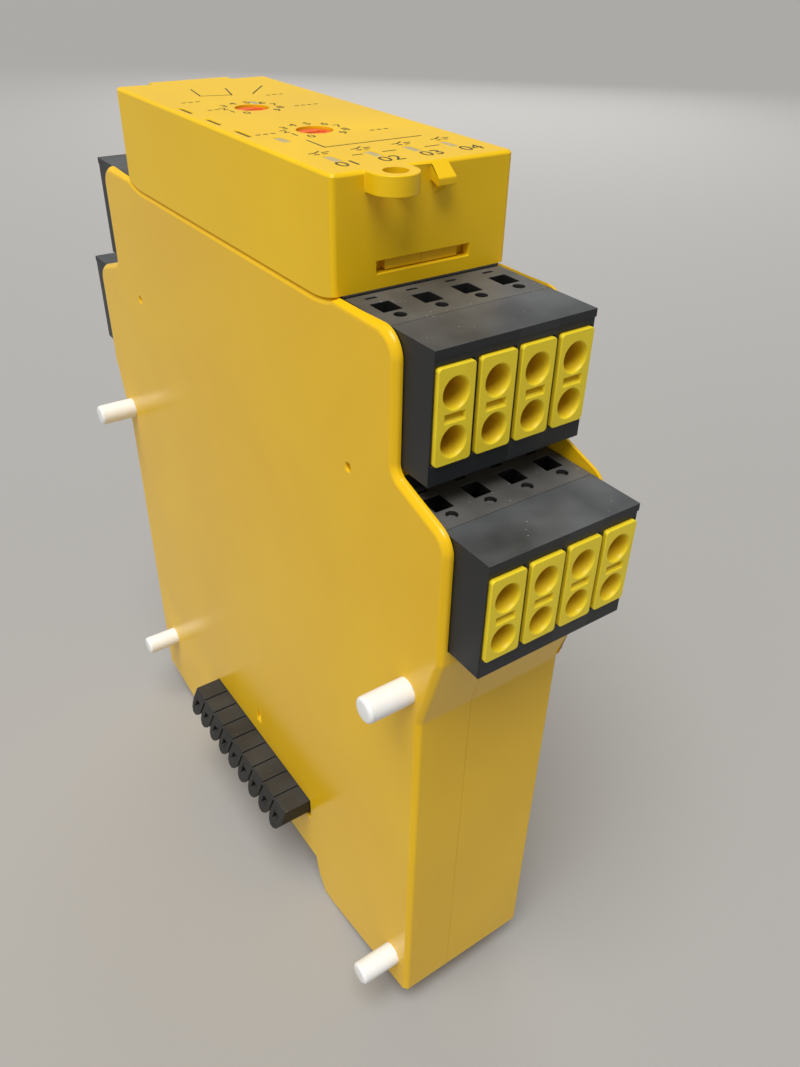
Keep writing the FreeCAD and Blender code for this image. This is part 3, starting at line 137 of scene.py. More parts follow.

# %% [markdown]
# A floor could be a large cube or a plane from the menu. A grid of one face, made in a bmesh, is
# the least that will do. Its edges lie so far off that they pass for the horizon.

# %% Floor
FLOOR_LIT, FLOOR_SEEN = (0.30, 0.30, 0.30), (0.36, 0.35, 0.335)
FLOOR_HALF = 6.0
floor_finish, tree, shader = new_finish("pale_floor")
feed(tree, shader.inputs["Base Color"], mix_colours(tree, pale_to_the_eye(tree), FLOOR_LIT, FLOOR_SEEN))
shader.inputs["Roughness"].default_value = 0.7
sheet = bmesh.new()
bmesh.ops.create_grid(sheet, x_segments=1, y_segments=1, size=FLOOR_HALF)
floor_mesh = bpy.data.meshes.new("floor")
sheet.to_mesh(floor_mesh)
sheet.free()
floor_mesh.materials.append(floor_finish)
floor = bpy.data.objects.new("floor", floor_mesh)
bpy.context.scene.collection.objects.link(floor)
print("floor side:", floor.dimensions.x, "m")

# %% [markdown]
# The key light is a soft sun, because it lights the far floor as much as the near one. A lamp near
# the module would leave the floor behind it dark. The sun stands high, a little towards the left
# corner, so the front face is the brightest and the eyelet throws a soft shadow down the end wall.
# Two weak square lamps fill the left side and the back. Together with the sky they show a colour
# about as bright as it is written.

# %% Lamps
MODULE_MIDDLE = (0, 0, 0.06)
SOFT_BOX_SIDE = 0.5


def aimed(name, lamp, place):
    """A lamp at a place, facing the middle of the module."""
    holder = bpy.data.objects.new(name, lamp)
    bpy.context.scene.collection.objects.link(holder)
    way = Vector(MODULE_MIDDLE) - Vector(place)
    turn = way.to_track_quat("-Z", "Y").to_matrix().to_4x4()
    holder.matrix_world = Matrix.Translation(place) @ turn
    return holder


def soft_box(name, place, power):
    """A square lamp that lights, but is not mirrored."""
    lamp = bpy.data.lights.new(name, "AREA")
    lamp.shape = "SQUARE"
    lamp.size = SOFT_BOX_SIDE
    lamp.energy = power
    aimed(name, lamp, place).visible_glossy = False


key = bpy.data.lights.new("key_sun", "SUN")
key.energy = 2.8
key.angle = math.radians(38)
aimed("key_sun", key, place=(-0.22, -0.15, 0.72))
soft_box("side_fill", place=(-0.75, -0.10, 0.30), power=0.9)
soft_box("back_fill", place=(0.50, 0.60, 0.35), power=1.6)

# %% [markdown]
# The sky is white with a trace of warmth. A studio could be painted and wrapped round the scene,
# but an even sky needs no file and gives soft shadows from all sides. The same mask as on the
# floor sets its two strengths: how much it lights, and how bright it looks.

# %% Sky
SKY_LIT, SKY_SEEN = 0.30, 0.34


def ranged(tree, value, start, end, low=0.0, high=1.0):
    """A value that runs from start to end, stretched to run from low to high."""
    made = node_of(tree, "ShaderNodeMapRange")
    for label, source in (("Value", value), ("From Min", start), ("From Max", end),
                          ("To Min", low), ("To Max", high)):
        feed(tree, made.inputs[label], source)
    return made.outputs["Result"]


world = bpy.data.worlds.new("plain_sky")
world.use_nodes = True
bpy.context.scene.world = world
tree = world.node_tree
sky = tree.nodes["Background"]
sky.inputs["Color"].default_value = (1.0, 0.99, 0.97, 1)
feed(tree, sky.inputs["Strength"], ranged(tree, pale_to_the_eye(tree), 0.0, 1.0, SKY_LIT, SKY_SEEN))
print("sky:", SKY_LIT, "as light,", SKY_SEEN, "to the eye")

# %% [markdown]
# Every plastic here is moulded, and a moulded skin is never quite even: it has a fine grain from
# the tool and broad, faint patches where the melt cooled. Both could be painted, but a node group
# of noise textures makes them at any size, so one group serves each plastic with its own numbers.

# %% Shared effect: moulded skin
def effect_group(name, inputs, outputs):
    """An empty shader group with named number or vector inputs and number outputs."""
    group = bpy.data.node_groups.new(name, "ShaderNodeTree")
    for label, kind, value in inputs:
        socket = group.interface.new_socket(name=label, in_out="INPUT", socket_type=kind)
        if value is not None:
            socket.default_value = value
    for label in outputs:
        group.interface.new_socket(name=label, in_out="OUTPUT", socket_type="NodeSocketFloat")
    return group, node_of(group, "NodeGroupInput"), node_of(group, "NodeGroupOutput")


skin, given, result = effect_group(
    "moulded_skin",
    [("Place", "NodeSocketVector", None), ("Grain Scale", "NodeSocketFloat", 4000.0),
     ("Patch Scale", "NodeSocketFloat", 60.0)],
    ["Grain", "Patch"])
grain = node_of(skin, "ShaderNodeTexNoise")
grain.inputs["Detail"].default_value = 3.0
patch = node_of(skin, "ShaderNodeTexNoise")
patch.inputs["Detail"].default_value = 2.0
patch.inputs["Distortion"].default_value = 0.6
for texture, scale in ((grain, "Grain Scale"), (patch, "Patch Scale")):
    skin.links.new(given.outputs["Place"], texture.inputs["Vector"])
    skin.links.new(given.outputs[scale], texture.inputs["Scale"])
skin.links.new(grain.outputs["Fac"], result.inputs["Grain"])
skin.links.new(patch.outputs["Fac"], result.inputs["Patch"])
print("group:", skin.name, [s.name for s in skin.interface.items_tree])

# %% [markdown]
# Dust settles as separate specks on faces that look up, and shows most on black. A Voronoi texture
# scatters one point in each cell. The mask keeps only a small disc round the point, only in a few
# cells, and only where the surface faces upwards. A second output is painted sheen: it makes the
# upper faces of a black moulding greyer than its sides, as the light that they mirror does.

# %% Shared effect: settled dust and painted sheen
SPECK_CORE = 0.6
STEEP, LEVEL = 0.2, 0.8
SHEEN_PATCH_SCALE = 150.0
dust_and_sheen, given, result = effect_group(
    "settled_dust_and_sheen",
    [("Place", "NodeSocketVector", None), ("Cells", "NodeSocketFloat", 900.0),
     ("Share", "NodeSocketFloat", 0.12), ("Radius", "NodeSocketFloat", 0.12)],
    ["Mask", "Sheen"])
cells = node_of(dust_and_sheen, "ShaderNodeTexVoronoi")
dust_and_sheen.links.new(given.outputs["Place"], cells.inputs["Vector"])
dust_and_sheen.links.new(given.outputs["Cells"], cells.inputs["Scale"])
draw = node_of(dust_and_sheen, "ShaderNodeSeparateColor")
dust_and_sheen.links.new(cells.outputs["Color"], draw.inputs["Color"])
chosen = math_of(dust_and_sheen, "LESS_THAN", draw.outputs["Red"], given.outputs["Share"])
ratio = math_of(dust_and_sheen, "DIVIDE", cells.outputs["Distance"], given.outputs["Radius"])
speck = math_of(dust_and_sheen, "MULTIPLY", chosen, ranged(dust_and_sheen, ratio, 1.0, SPECK_CORE))
facing = node_of(dust_and_sheen, "ShaderNodeNewGeometry")
split = node_of(dust_and_sheen, "ShaderNodeSeparateXYZ")
dust_and_sheen.links.new(facing.outputs["Normal"], split.inputs["Vector"])
upward = ranged(dust_and_sheen, split.outputs["Z"], STEEP, LEVEL)
feed(dust_and_sheen, result.inputs["Mask"], math_of(dust_and_sheen, "MULTIPLY", speck, upward))
sheen_patches = node_of(dust_and_sheen, "ShaderNodeTexNoise")
sheen_patches.inputs["Scale"].default_value = SHEEN_PATCH_SCALE
dust_and_sheen.links.new(given.outputs["Place"], sheen_patches.inputs["Vector"])
# Painted sheen: a patchy lightening of the faces that look up.
feed(dust_and_sheen, result.inputs["Sheen"], math_of(dust_and_sheen, "MULTIPLY", sheen_patches.outputs["Fac"], upward))
print("group:", dust_and_sheen.name, [s.name for s in dust_and_sheen.interface.items_tree])

# %% [markdown]
# A finish is put together from small steps: a group that gets the material's own numbers, a noise
# stretched to a useful range, a height that is turned into relief, and a painted shade for each pole
# of a row. Wiring them by hand in each material would hide what differs, so each step is a helper.

# %% Helpers: steps of a finish
NOISE_LOW, NOISE_HIGH = 0.3, 0.7


def in_group(tree, group, place, **values):
    """A group placed in a material, fed with a place and its own numbers."""
    made = node_of(tree, "ShaderNodeGroup", node_tree=group)
    tree.links.new(place, made.inputs["Place"])
    for label, value in values.items():
        made.inputs[label.replace("_", " ")].default_value = value
    return made


def spread(tree, value, low, high):
    """A noise value, stretched from its usual reach to run from low to high."""
    return ranged(tree, value, NOISE_LOW, NOISE_HIGH, low, high)


def raised(tree, height, strength, distance):
    """A normal that makes a height read as relief."""
    bump = node_of(tree, "ShaderNodeBump")
    for label, source in (("Strength", strength), ("Distance", distance), ("Height", height)):
        feed(tree, bump.inputs[label], source)
    return bump.outputs["Normal"]


def pole_tiles(tree, place, pitch):
    """A number that jumps from one tile of a row to the next."""
    along = node_of(tree, "ShaderNodeSeparateXYZ")
    tree.links.new(place, along.inputs["Vector"])
    tile = math_of(tree, "FLOOR", math_of(tree, "DIVIDE", along.outputs["X"], pitch))
    drawn = node_of(tree, "ShaderNodeTexWhiteNoise", noise_dimensions="1D")
    tree.links.new(tile, drawn.inputs["W"])
    return drawn.outputs["Value"]


print("a noise from", NOISE_LOW, "to", NOISE_HIGH, "fills a finish's whole range")

# %% [markdown]
# One recipe makes each plastic: two close tones mixed by the patches, a roughness that wanders
# between two values, a bump from the grain, and dust and painted sheen on top. The values that are
# the same all over, such as the coat, go straight onto the shader.

# %% Recipe: moulded plastic
DUST_TONE, DUST_CELLS, SPECK_RADIUS = (0.42, 0.40, 0.36), 1900.0, 0.15
GRAIN_SCALE, GRAIN_HEIGHT = 4000.0, 0.02 * MM


def moulded(name, tones, rough, relief=0.15, patches=60.0, dusty=0.05, coat=0.0, shine=0.5,
            shaded_tiles=None, painted_hollow_shade=None, sheen_film=None):
    """A moulded plastic with two close tones and a range of roughness.

    shaded_tiles gives each pole of a row a painted shade of its own, painted_hollow_shade is the
    painted shade that hollows turn towards with depth, and sheen_film is the painted sheen that
    lightens the faces that look up.
    """
    finish, tree, shader = new_finish(name)
    place = node_of(tree, "ShaderNodeTexCoord").outputs["Object"]
    surface = in_group(tree, skin, place, Grain_Scale=GRAIN_SCALE, Patch_Scale=patches)
    # Painted shade: with shaded_tiles, each pole gets a tone of its own for the light its slightly tilted
    # top catches.
    choice = pole_tiles(tree, place, shaded_tiles) if shaded_tiles else surface.outputs["Patch"]
    colour = mix_colours(tree, spread(tree, choice, 0.0, 1.0), *tones)
    # Painted shade: hollows turn darker and more amber with their depth behind the front.
    if painted_hollow_shade:
        depth = node_of(tree, "ShaderNodeAttribute", attribute_name="depth")
        colour = mix_colours(tree, depth.outputs["Fac"], colour, painted_hollow_shade)
    specks = in_group(tree, dust_and_sheen, place, Cells=DUST_CELLS, Share=dusty, Radius=SPECK_RADIUS)
    # Painted sheen: the faces that look up are lightened towards this colour.
    if sheen_film:
        colour = mix_colours(tree, specks.outputs["Sheen"], colour, sheen_film)
    feed(tree, shader.inputs["Base Color"], mix_colours(tree, specks.outputs["Mask"], colour, DUST_TONE))
    feed(tree, shader.inputs["Roughness"], spread(tree, surface.outputs["Patch"], *rough))
    feed(tree, shader.inputs["Normal"], raised(tree, surface.outputs["Grain"], relief, GRAIN_HEIGHT))
    shader.inputs["Specular IOR Level"].default_value = shine
    shader.inputs["Coat Weight"].default_value = coat
    shader.inputs["Coat Roughness"].default_value = 0.15
    return finish


print("grain:", round(GRAIN_HEIGHT / MM, 3), "mm high")

# %% [markdown]
# Now the plastics by name. The housing is a signal yellow with a satin gloss, the inserts are a
# greener, softer lemon, the plugs a neutral black under bluish covers, and the pins a clean white
# that slides well.

# %% Plastics
POLE_PITCH = 5.08 * MM
finishes = {
    "housing": moulded("housing_yellow", ((0.84, 0.495, 0.005), (0.89, 0.54, 0.007)), (0.20, 0.27),
                       patches=35.0, relief=0.06, dusty=0.004, shine=0.36),
    "front_cover": moulded("cover_yellow", ((0.86, 0.53, 0.006), (0.91, 0.57, 0.008)), (0.28, 0.36),
                           patches=45.0, relief=0.06, dusty=0.004, shine=0.25),
    # The lemon inserts carry painted shade, darker and more amber deep in their funnels.
    "entry_plastic": moulded("insert_lemon", ((0.86, 0.66, 0.022), (0.91, 0.71, 0.028)), (0.34, 0.44),
                             patches=200.0, relief=0.10, dusty=0.01, shine=0.3, painted_hollow_shade=(0.62, 0.19, 0.005)),
    # The plugs, their covers and the bus plug take painted sheen on the faces that look up.
    "plug_plastic": moulded("plug_black", ((0.010, 0.010, 0.0095), (0.015, 0.0145, 0.014)), (0.38, 0.50),
                            patches=120.0, relief=0.20, dusty=0.16, shine=0.3, sheen_film=(0.18, 0.176, 0.165)),
    "bus_plastic": moulded("bus_grey", ((0.015, 0.014, 0.013), (0.022, 0.021, 0.019)), (0.42, 0.52),
                           patches=150.0, relief=0.20, dusty=0.06, shine=0.3, sheen_film=(0.058, 0.056, 0.052)),
    "pin_plastic": moulded("pin_white", ((0.86, 0.855, 0.83), (0.90, 0.895, 0.87)), (0.28, 0.36),
                           patches=300.0, relief=0.05, dusty=0.0),
    "socket_plastic": moulded("socket_white", ((0.74, 0.73, 0.70), (0.80, 0.79, 0.76)), (0.34, 0.42),
                              patches=300.0, relief=0.05, dusty=0.0),
    "header_plastic": moulded("header_black", ((0.018, 0.018, 0.020), (0.026, 0.026, 0.028)), (0.45, 0.55),
                              patches=150.0, relief=0.20, dusty=0.03, shine=0.35),
    "latch_plastic": moulded("latch_black", ((0.020, 0.020, 0.022), (0.028, 0.028, 0.030)), (0.40, 0.50),
                             patches=150.0, relief=0.20, dusty=0.03, shine=0.35),
    "dial": moulded("dial_orange", ((0.80, 0.11, 0.014), (0.88, 0.15, 0.020)), (0.30, 0.40),
                    patches=400.0, relief=0.10, dusty=0.0, shine=0.35),
    "switch_case": moulded("switch_grey", ((0.06, 0.06, 0.065), (0.08, 0.08, 0.085)), (0.45, 0.55),
                           patches=300.0, relief=0.15, dusty=0.0),
    "relay_case": moulded("relay_orange", ((0.72, 0.33, 0.06), (0.78, 0.38, 0.08)), (0.35, 0.45),
                          patches=90.0, relief=0.10, dusty=0.0),
    "component": moulded("package_black", ((0.035, 0.035, 0.038), (0.050, 0.050, 0.053)), (0.55, 0.65),
                         patches=200.0, relief=0.25, dusty=0.0),
    "light_guide": moulded("guide_grey", ((0.50, 0.40, 0.16), (0.58, 0.47, 0.20)), (0.20, 0.30),
                           patches=500.0, relief=0.03, dusty=0.0, shine=0.35),
    "lamp": moulded("lamp_cream", ((0.78, 0.76, 0.66), (0.84, 0.82, 0.74)), (0.25, 0.35),
                    patches=800.0, relief=0.03, dusty=0.0, coat=0.3),
}
# Each pole of a cover gets a painted shade of its own, for the light that its slightly tilted top catches.
cover_black = moulded("plug_cover_black", ((0.015, 0.017, 0.019), (0.027, 0.029, 0.031)), (0.34, 0.44),
                      relief=0.15, dusty=0.08, shine=0.3, shaded_tiles=POLE_PITCH, sheen_film=(0.145, 0.15, 0.155))
# The ink's dark grey also serves as painted shade in the cap's grooves.
ink = moulded("print_and_groove_shade_grey", ((0.050, 0.044, 0.022), (0.075, 0.066, 0.034)), (0.45, 0.60),
              patches=900.0, relief=0.05, dusty=0.0, shine=0.3)
print("plastics:", len(finishes))

# %% [markdown]
# The clamp springs and contacts are rolled strip, so their scratches run one way. A noise texture
# stretched along the strip by a Mapping node gives that brushed look. It drives the roughness and
# a slight relief, and the metal's own colour stays nearly even.

# %% Recipe: rolled metal strip
ROLLED_LINES, LINE_HEIGHT = (6000.0, 400.0, 400.0), 0.01 * MM


def rolled(name, tones, rough):
    """A rolled metal with fine lines along its length."""
    finish, tree, shader = new_finish(name)
    place = node_of(tree, "ShaderNodeTexCoord").outputs["Object"]
    stretch = node_of(tree, "ShaderNodeMapping")
    stretch.inputs["Scale"].default_value = ROLLED_LINES
    tree.links.new(place, stretch.inputs["Vector"])
    surface = in_group(tree, skin, stretch.outputs["Vector"], Grain_Scale=1.0, Patch_Scale=0.3)
    feed(tree, shader.inputs["Base Color"], mix_colours(tree, surface.outputs["Patch"], *tones))
    feed(tree, shader.inputs["Roughness"], spread(tree, surface.outputs["Grain"], *rough))
    feed(tree, shader.inputs["Normal"], raised(tree, surface.outputs["Grain"], 0.3, LINE_HEIGHT))
    shader.inputs["Metallic"].default_value = 1.0
    return finish


finishes["spring_steel"] = rolled("spring_steel", ((0.56, 0.56, 0.55), (0.66, 0.66, 0.65)), (0.22, 0.36))
finishes["contact_metal"] = rolled("tinned_copper", ((0.74, 0.66, 0.52), (0.80, 0.74, 0.62)), (0.25, 0.40))
print("metals:", [finishes[s].name for s in ("spring_steel", "contact_metal")])

# %% [markdown]
# A circuit board is glass cloth under green lacquer, with copper tracks showing through as a
# slightly lighter green. A brick texture laid flat on the board's long directions draws the
# tracks. They are hidden deep inside, so the pattern stays simple.

# %% Circuit board
TRACK_LOOKS = (("Scale", 160.0), ("Mortar Size", 0.03), ("Color1", (0.010, 0.105, 0.036)),
               ("Color2", (0.014, 0.125, 0.044)), ("Mortar", (0.030, 0.200, 0.075)))
TRACK_HEIGHT = 0.03 * MM
finishes["board"], tree, shader = new_finish("board_green")
place = node_of(tree, "ShaderNodeTexCoord").outputs["Object"]
turned = node_of(tree, "ShaderNodeMapping")
turned.inputs["Rotation"].default_value = (math.radians(90), 0, math.radians(90))
tree.links.new(place, turned.inputs["Vector"])
tracks = node_of(tree, "ShaderNodeTexBrick")
tree.links.new(turned.outputs["Vector"], tracks.inputs["Vector"])
for label, look in TRACK_LOOKS:
    feed(tree, tracks.inputs[label], look)
lacquer = in_group(tree, skin, place, Grain_Scale=2500.0, Patch_Scale=90.0)
feed(tree, shader.inputs["Base Color"], tracks.outputs["Color"])
feed(tree, shader.inputs["Roughness"], spread(tree, lacquer.outputs["Patch"], 0.25, 0.38))
feed(tree, shader.inputs["Normal"], raised(tree, tracks.outputs["Fac"], 0.4, TRACK_HEIGHT))
print("finishes in all:", len(finishes))

# %% [markdown]
# Each solid of the frame names a material slot in its record. The same names key the finishes,
# so one loop dresses every solid, the hidden ones too.

# %% Dress the solids
slot_of = {part["node"]: part["material_slot"] for part in frame["record"]["subparts"]}
for name, solid in nodes.items():
    for index in range(len(solid.data.materials)):
        solid.data.materials[index] = finishes[slot_of[name]]
    if not solid.data.materials:
        solid.data.materials.append(finishes[slot_of[name]])
print("dressed:", len(slot_of))

# %% [markdown]
# A solid's edges are perfectly sharp, and no moulded edge is. The solid itself must stay as it is,
# so a copy is made, its loose triangles are merged into whole faces, and its long sharp edges are
# found and bevelled. A Bevel modifier that is limited by angle would round the short edges and the
# hidden ones too, so the edges are chosen here. Points that are nearer than a thousandth of a
# millimetre are taken to touch.

# %% Helpers: whole faces and rounded edges
TOUCHING, NEAR = 0.001 * MM, 0.01 * MM
FLAT_WITHIN, SHARP_CORNER = 0.5, 28.0


def whole_faces(shape):
    """Join the neighbouring faces that lie in one plane."""
    bmesh.ops.dissolve_limit(shape, angle_limit=math.radians(FLAT_WITHIN), verts=shape.verts,
                             edges=shape.edges)


def merged(node):
    """A solid's triangles as closed, whole faces."""
    shape = bmesh.new()
    shape.from_mesh(nodes[node].data)
    bmesh.ops.remove_doubles(shape, verts=shape.verts, dist=TOUCHING)
    whole_faces(shape)
    return shape


def sharp_edges(shape, shortest, corner=SHARP_CORNER, where=None):
    """The edges that turn by more than a corner and are long enough to bevel."""
    found = []
    for edge in shape.edges:
        if not edge.is_manifold or edge.calc_length() < shortest:
            continue
        if edge.calc_face_angle() > math.radians(corner):
            middle = (edge.verts[0].co + edge.verts[1].co) / 2
            if where is None or where(middle):
                found.append(edge)
    return found


def round_off(shape, edges, radius, segments=2):
    """Bevel some edges to a round."""
    return bmesh.ops.bevel(shape, geom=edges, offset=radius, offset_type="OFFSET", segments=segments,
                           profile=0.5, affect="EDGES", clamp_overlap=False, material=-1)


print("an edge is sharp from", SHARP_CORNER, "degrees")

# %% [markdown]
# The rounded copy becomes a piece: it gets one finish and smooth shading, and it stands in the
# solid's place on the same body. Smooth shading alone would bend the light across the large flat
# faces. A Weighted Normal modifier keeps them flat while the narrow bevels turn smoothly.

# %% Helpers: from a copy to a piece
SHADED_CORNER, FACE_WEIGHT = 35, 50
bodies = frame["record"]["behaviour"]["bodies"]
body_of = {name: body for body, names in bodies.items() for name in names}


def as_piece(shape, name, finish, weighted=True):
    """The shape as a smooth-shaded object with one finish."""
    mesh = bpy.data.meshes.new(name)
    shape.to_mesh(mesh)
    shape.free()
    if "custom_normal" in mesh.attributes:
        mesh.attributes.remove(mesh.attributes["custom_normal"])
    mesh.materials.clear()
    mesh.materials.append(finish)
    for face in mesh.polygons:
        face.use_smooth = True
        face.material_index = 0
    piece = bpy.data.objects.new(name, mesh)
    bpy.context.scene.collection.objects.link(piece)
    if weighted:
        mesh.set_sharp_from_angle(angle=math.radians(SHADED_CORNER))
        even = piece.modifiers.new("even_faces", "WEIGHTED_NORMAL")
        even.keep_sharp = True
        even.weight = FACE_WEIGHT
    return piece


def stand_for(piece, node):
    """The piece moves with a solid's body and is shown in the solid's place."""
    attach(piece, body_of[node])
    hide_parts(node)
    return piece


def softened(node, radius, shortest, segments=2, where=None, corner=SHARP_CORNER, finish=None,
             reshape=None):
    """A copy of a solid with its long edges rounded, shown in the solid's place."""
    shape = merged(node)
    if reshape:
        reshape(shape)
    edges = sharp_edges(shape, shortest, corner, where)
    round_off(shape, edges, radius, segments)
    piece = stand_for(as_piece(shape, node + "_skin", finish or finishes[slot_of[node]]), node)
    print(piece.name, "edges:", len(edges), "faces:", len(piece.data.polygons))
    return piece


print("bodies:", sorted(bodies))

# %% [markdown]
# The cap's long sides reach a little lower than its ends, and their corners sweep up in a shallow
# curve, so the seam between cap and shell dips. The same helper bends both pieces: it cuts the
# faces along the seam at a few stations and lowers the points between them by one curve.

# %% Helper: the dip in the seam
cap_low, cap_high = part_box("front_cap")
SEAM_DIP = 0.72 * MM
SWEEP_START = 23.2 * MM
SWEEP_END = 27.6 * MM
SHARES = (0, 0.22, 0.42, 0.6, 0.76, 0.9, 1)
STATIONS = [SWEEP_START + (SWEEP_END - SWEEP_START) * share for share in SHARES]


def dip_at(y):
    """How far the seam lies below the cap's ends at a distance along the module."""
    along = (abs(y) - SWEEP_START) / (SWEEP_END - SWEEP_START)
    return SEAM_DIP * (1 - min(max(along, 0), 1) ** 2)


def bend_seam(shape, beside):
    """Cut the faces whose points all lie beside the seam, and lower those points along it."""
    for y in [end * station for station in STATIONS for end in (-1, 1)]:
        strip = [f for f in shape.faces if all(beside(v.co) for v in f.verts)]
        edges = list(dict.fromkeys(e for f in strip for e in f.edges))
        points = list(dict.fromkeys(v for f in strip for v in f.verts))
        bmesh.ops.bisect_plane(shape, geom=strip + edges + points, dist=TOUCHING,
                               plane_co=(0, y, 0), plane_no=(0, 1, 0))
    for v in shape.verts:
        if beside(v.co) and abs(v.co.y) < SWEEP_END + TOUCHING:
            v.co.z -= dip_at(v.co.y)


print("seam dip:", [round(dip_at(station) / MM, 2) for station in STATIONS])

# %% [markdown]
# The two half shells are the big yellow surfaces. The rim of each side panel is drawn as a flat
# chamfer, and rounding both of its edges turns it into the soft lip that catches the light. Inside
# the shell nothing shows, so only the edges near the outer face are touched.

# %% Half shells
SHELL_ROUND, RIM_BAND = 0.24 * MM, 0.7 * MM
SEAM_BAND, CAP_SIDE = 1.1 * MM, 9.95 * MM
outer = {"left_shell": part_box("left_shell")[0].x, "right_shell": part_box("right_shell")[1].x}


def beside_shell_seam(co):
    """Whether a point lies on the shell's upper rim, outside the side of the cap."""
    return cap_low.z - SEAM_BAND < co.z < cap_low.z + NEAR and abs(co.x) > CAP_SIDE


for name, face_x in outer.items():
    softened(name, SHELL_ROUND, shortest=0.25 * MM, segments=3,
             where=lambda middle, face_x=face_x: abs(middle.x - face_x) < RIM_BAND,
             reshape=lambda shape: bend_seam(shape, beside_shell_seam))

# %% [markdown]
# The plugs are two mouldings each. A small round on every long edge is enough to draw the seam
# between the cover and the body as a fine dark line with two light ones beside it. The cover's
# lip is drawn back until it stands only a hair over the face below.

# %% Plugs, headers, latch and bus socket
PLACES = ("output_front", "output_rear", "input_front", "input_rear")
LIP_REACH, LIP_HAIR = 0.4 * MM, 0.12 * MM
FINE_ROUND, SOFT_ROUND = 0.10 * MM, 0.15 * MM


def shorter_lip(face):
    """A change of shape that draws the points beyond the plug's face back to a hair over it."""
    def change(shape):
        for v in shape.verts:
            if abs(v.co.y) > face + LIP_HAIR:
                v.co.y = math.copysign(face + LIP_HAIR, v.co.y)
    return change


for place in PLACES:
    face = max(abs(corner.y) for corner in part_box("plug_cover_" + place)) - LIP_REACH
    softened("plug_cover_" + place, FINE_ROUND, shortest=0.5 * MM, finish=cover_black,
             reshape=shorter_lip(face))
    softened("plug_body_" + place, FINE_ROUND, shortest=0.45 * MM)
    softened("header_" + place, SOFT_ROUND, shortest=1.5 * MM)
    print("plug face:", round(face / MM, 3), "mm from the middle")
softened("rail_latch", SOFT_ROUND, shortest=0.8 * MM)
softened("bus_socket", FINE_ROUND, shortest=1.0 * MM)

# %% [markdown]
# The bus plug's nine ways end in slanted noses, so that they slide easily into the next module's
# socket, and a slit parts each from its neighbour. The solid's noses are parted only at their
# rounded undersides. Each slit could be cut with a Boolean, but raising the narrow strips between
# the noses needs no cutter. Both end faces are then filled afresh round the new outline, and the
# outer one leans back towards the top. Its points move in step with their height, so it stays flat.

# %% Bus plug
NOSE_LEAN = 1.9 * MM
WAYS = 9
SLIT_BRIDGE = 0.65 * MM
NOSE_ROUND = 0.09 * MM
bus_low, bus_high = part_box("bus_plug")


def in_end(item, end_x):
    """Whether all points of a face or edge lie in one end plane of the plug."""
    return all(abs(v.co.x - end_x) < NEAR for v in item.verts)


def part_noses(shape):
    """Raise the strips between the noses, and fill both ends round the new outline."""
    half_way = (bus_high.y - bus_low.y) / WAYS / 2
    strip_z = min(v.co.z for v in shape.verts if abs(v.co.y - bus_low.y) < TOUCHING)
    for v in shape.verts:
        between = bus_low.y + half_way < v.co.y < bus_high.y - half_way
        if between and abs(v.co.z - strip_z) < NEAR:
            v.co.z = bus_high.z - SLIT_BRIDGE
    for end_x, outward in ((bus_low.x, (-1, 0, 0)), (bus_high.x, (1, 0, 0))):
        end = [f for f in shape.faces if in_end(f, end_x)]
        bmesh.ops.delete(shape, geom=end, context="FACES")
        rim = [e for e in shape.edges if e.is_boundary and in_end(e, end_x)]
        bmesh.ops.triangle_fill(shape, edges=rim, use_beauty=True, use_dissolve=False, normal=outward)
    whole_faces(shape)
    print("bus plug's open edges:", sum(1 for e in shape.edges if not e.is_manifold))


def lean_noses(shape):
    """Part the noses, then lean the outer end face back towards the top."""
    part_noses(shape)
    for v in shape.verts:
        if v.co.x < bus_low.x + NEAR:
            v.co.x += NOSE_LEAN * (v.co.z - bus_low.z) / (bus_high.z - bus_low.z)


softened("bus_plug", NOSE_ROUND, shortest=0.35 * MM, corner=40.0, reshape=lean_noses)

# %% [markdown]
# The front cap is one cover with thin printed marks on its face. The ink has a thickness of its
# own, so the cap's top is set lower by that much and the ink fills it again. The finger tab is
# made narrower, shorter and lower, down to a steep little step. The eyelet, the tab and the long
# edges get a soft round.

# %% Front cap
INK = 0.015 * MM
END_FACE = -27.8 * MM
TAB_SPAN, TAB_SEEN = (-0.5 * MM, 2.7 * MM), (0.4 * MM, 2.6 * MM)
TAB_REACH, TAB_SHARE, TAB_DROP = 2.9 * MM, 0.5, 0.4 * MM
TAB_BAND, TAB_ROOT = 3.6 * MM, 0.4 * MM
CAP_SKIRT, CAP_ROUND, RIM_KEPT = 9.9 * MM, 0.13 * MM, 0.5 * MM


def smaller_tab(shape):
    """Narrow and shorten the finger tab, and lower its tip."""
    for v in shape.verts:
        on_tab = TAB_SPAN[0] - NEAR < v.co.x < TAB_SPAN[1] + NEAR and v.co.z > cap_high.z - TAB_BAND
        if on_tab and v.co.y < END_FACE + TAB_ROOT:
            across = (v.co.x - TAB_SPAN[0]) / (TAB_SPAN[1] - TAB_SPAN[0])
            v.co.x = TAB_SEEN[0] + across * (TAB_SEEN[1] - TAB_SEEN[0])
            out = max(END_FACE - v.co.y, 0)
            v.co.y += out * (1 - TAB_SHARE)
            v.co.z -= TAB_DROP * out / TAB_REACH


shape = merged("front_cap")
smaller_tab(shape)
bend_seam(shape, lambda co: co.z < cap_low.z + NEAR and abs(co.x) > CAP_SKIRT)
top_points = [v for v in shape.verts if v.co.z > cap_high.z - TOUCHING]
bmesh.ops.translate(shape, verts=top_points, vec=(0, 0, -INK))
edges = sharp_edges(shape, shortest=0.35 * MM, where=lambda middle: middle.z > cap_low.z + RIM_KEPT)
round_off(shape, edges, CAP_ROUND, segments=3)
stand_for(as_piece(shape, "front_cap_skin", finishes["front_cover"]), "front_cap")
print("cap edges rounded:", len(edges))

# %% [markdown]
# A locating pin is a turned shape: a straight stem with a rounded tip. Half of its outline is
# drawn as three edges and spun once round the pin's axis. The tip's rim is bevelled afterwards,
# which is easier than drawing the curve. A square root holds it in the shell.

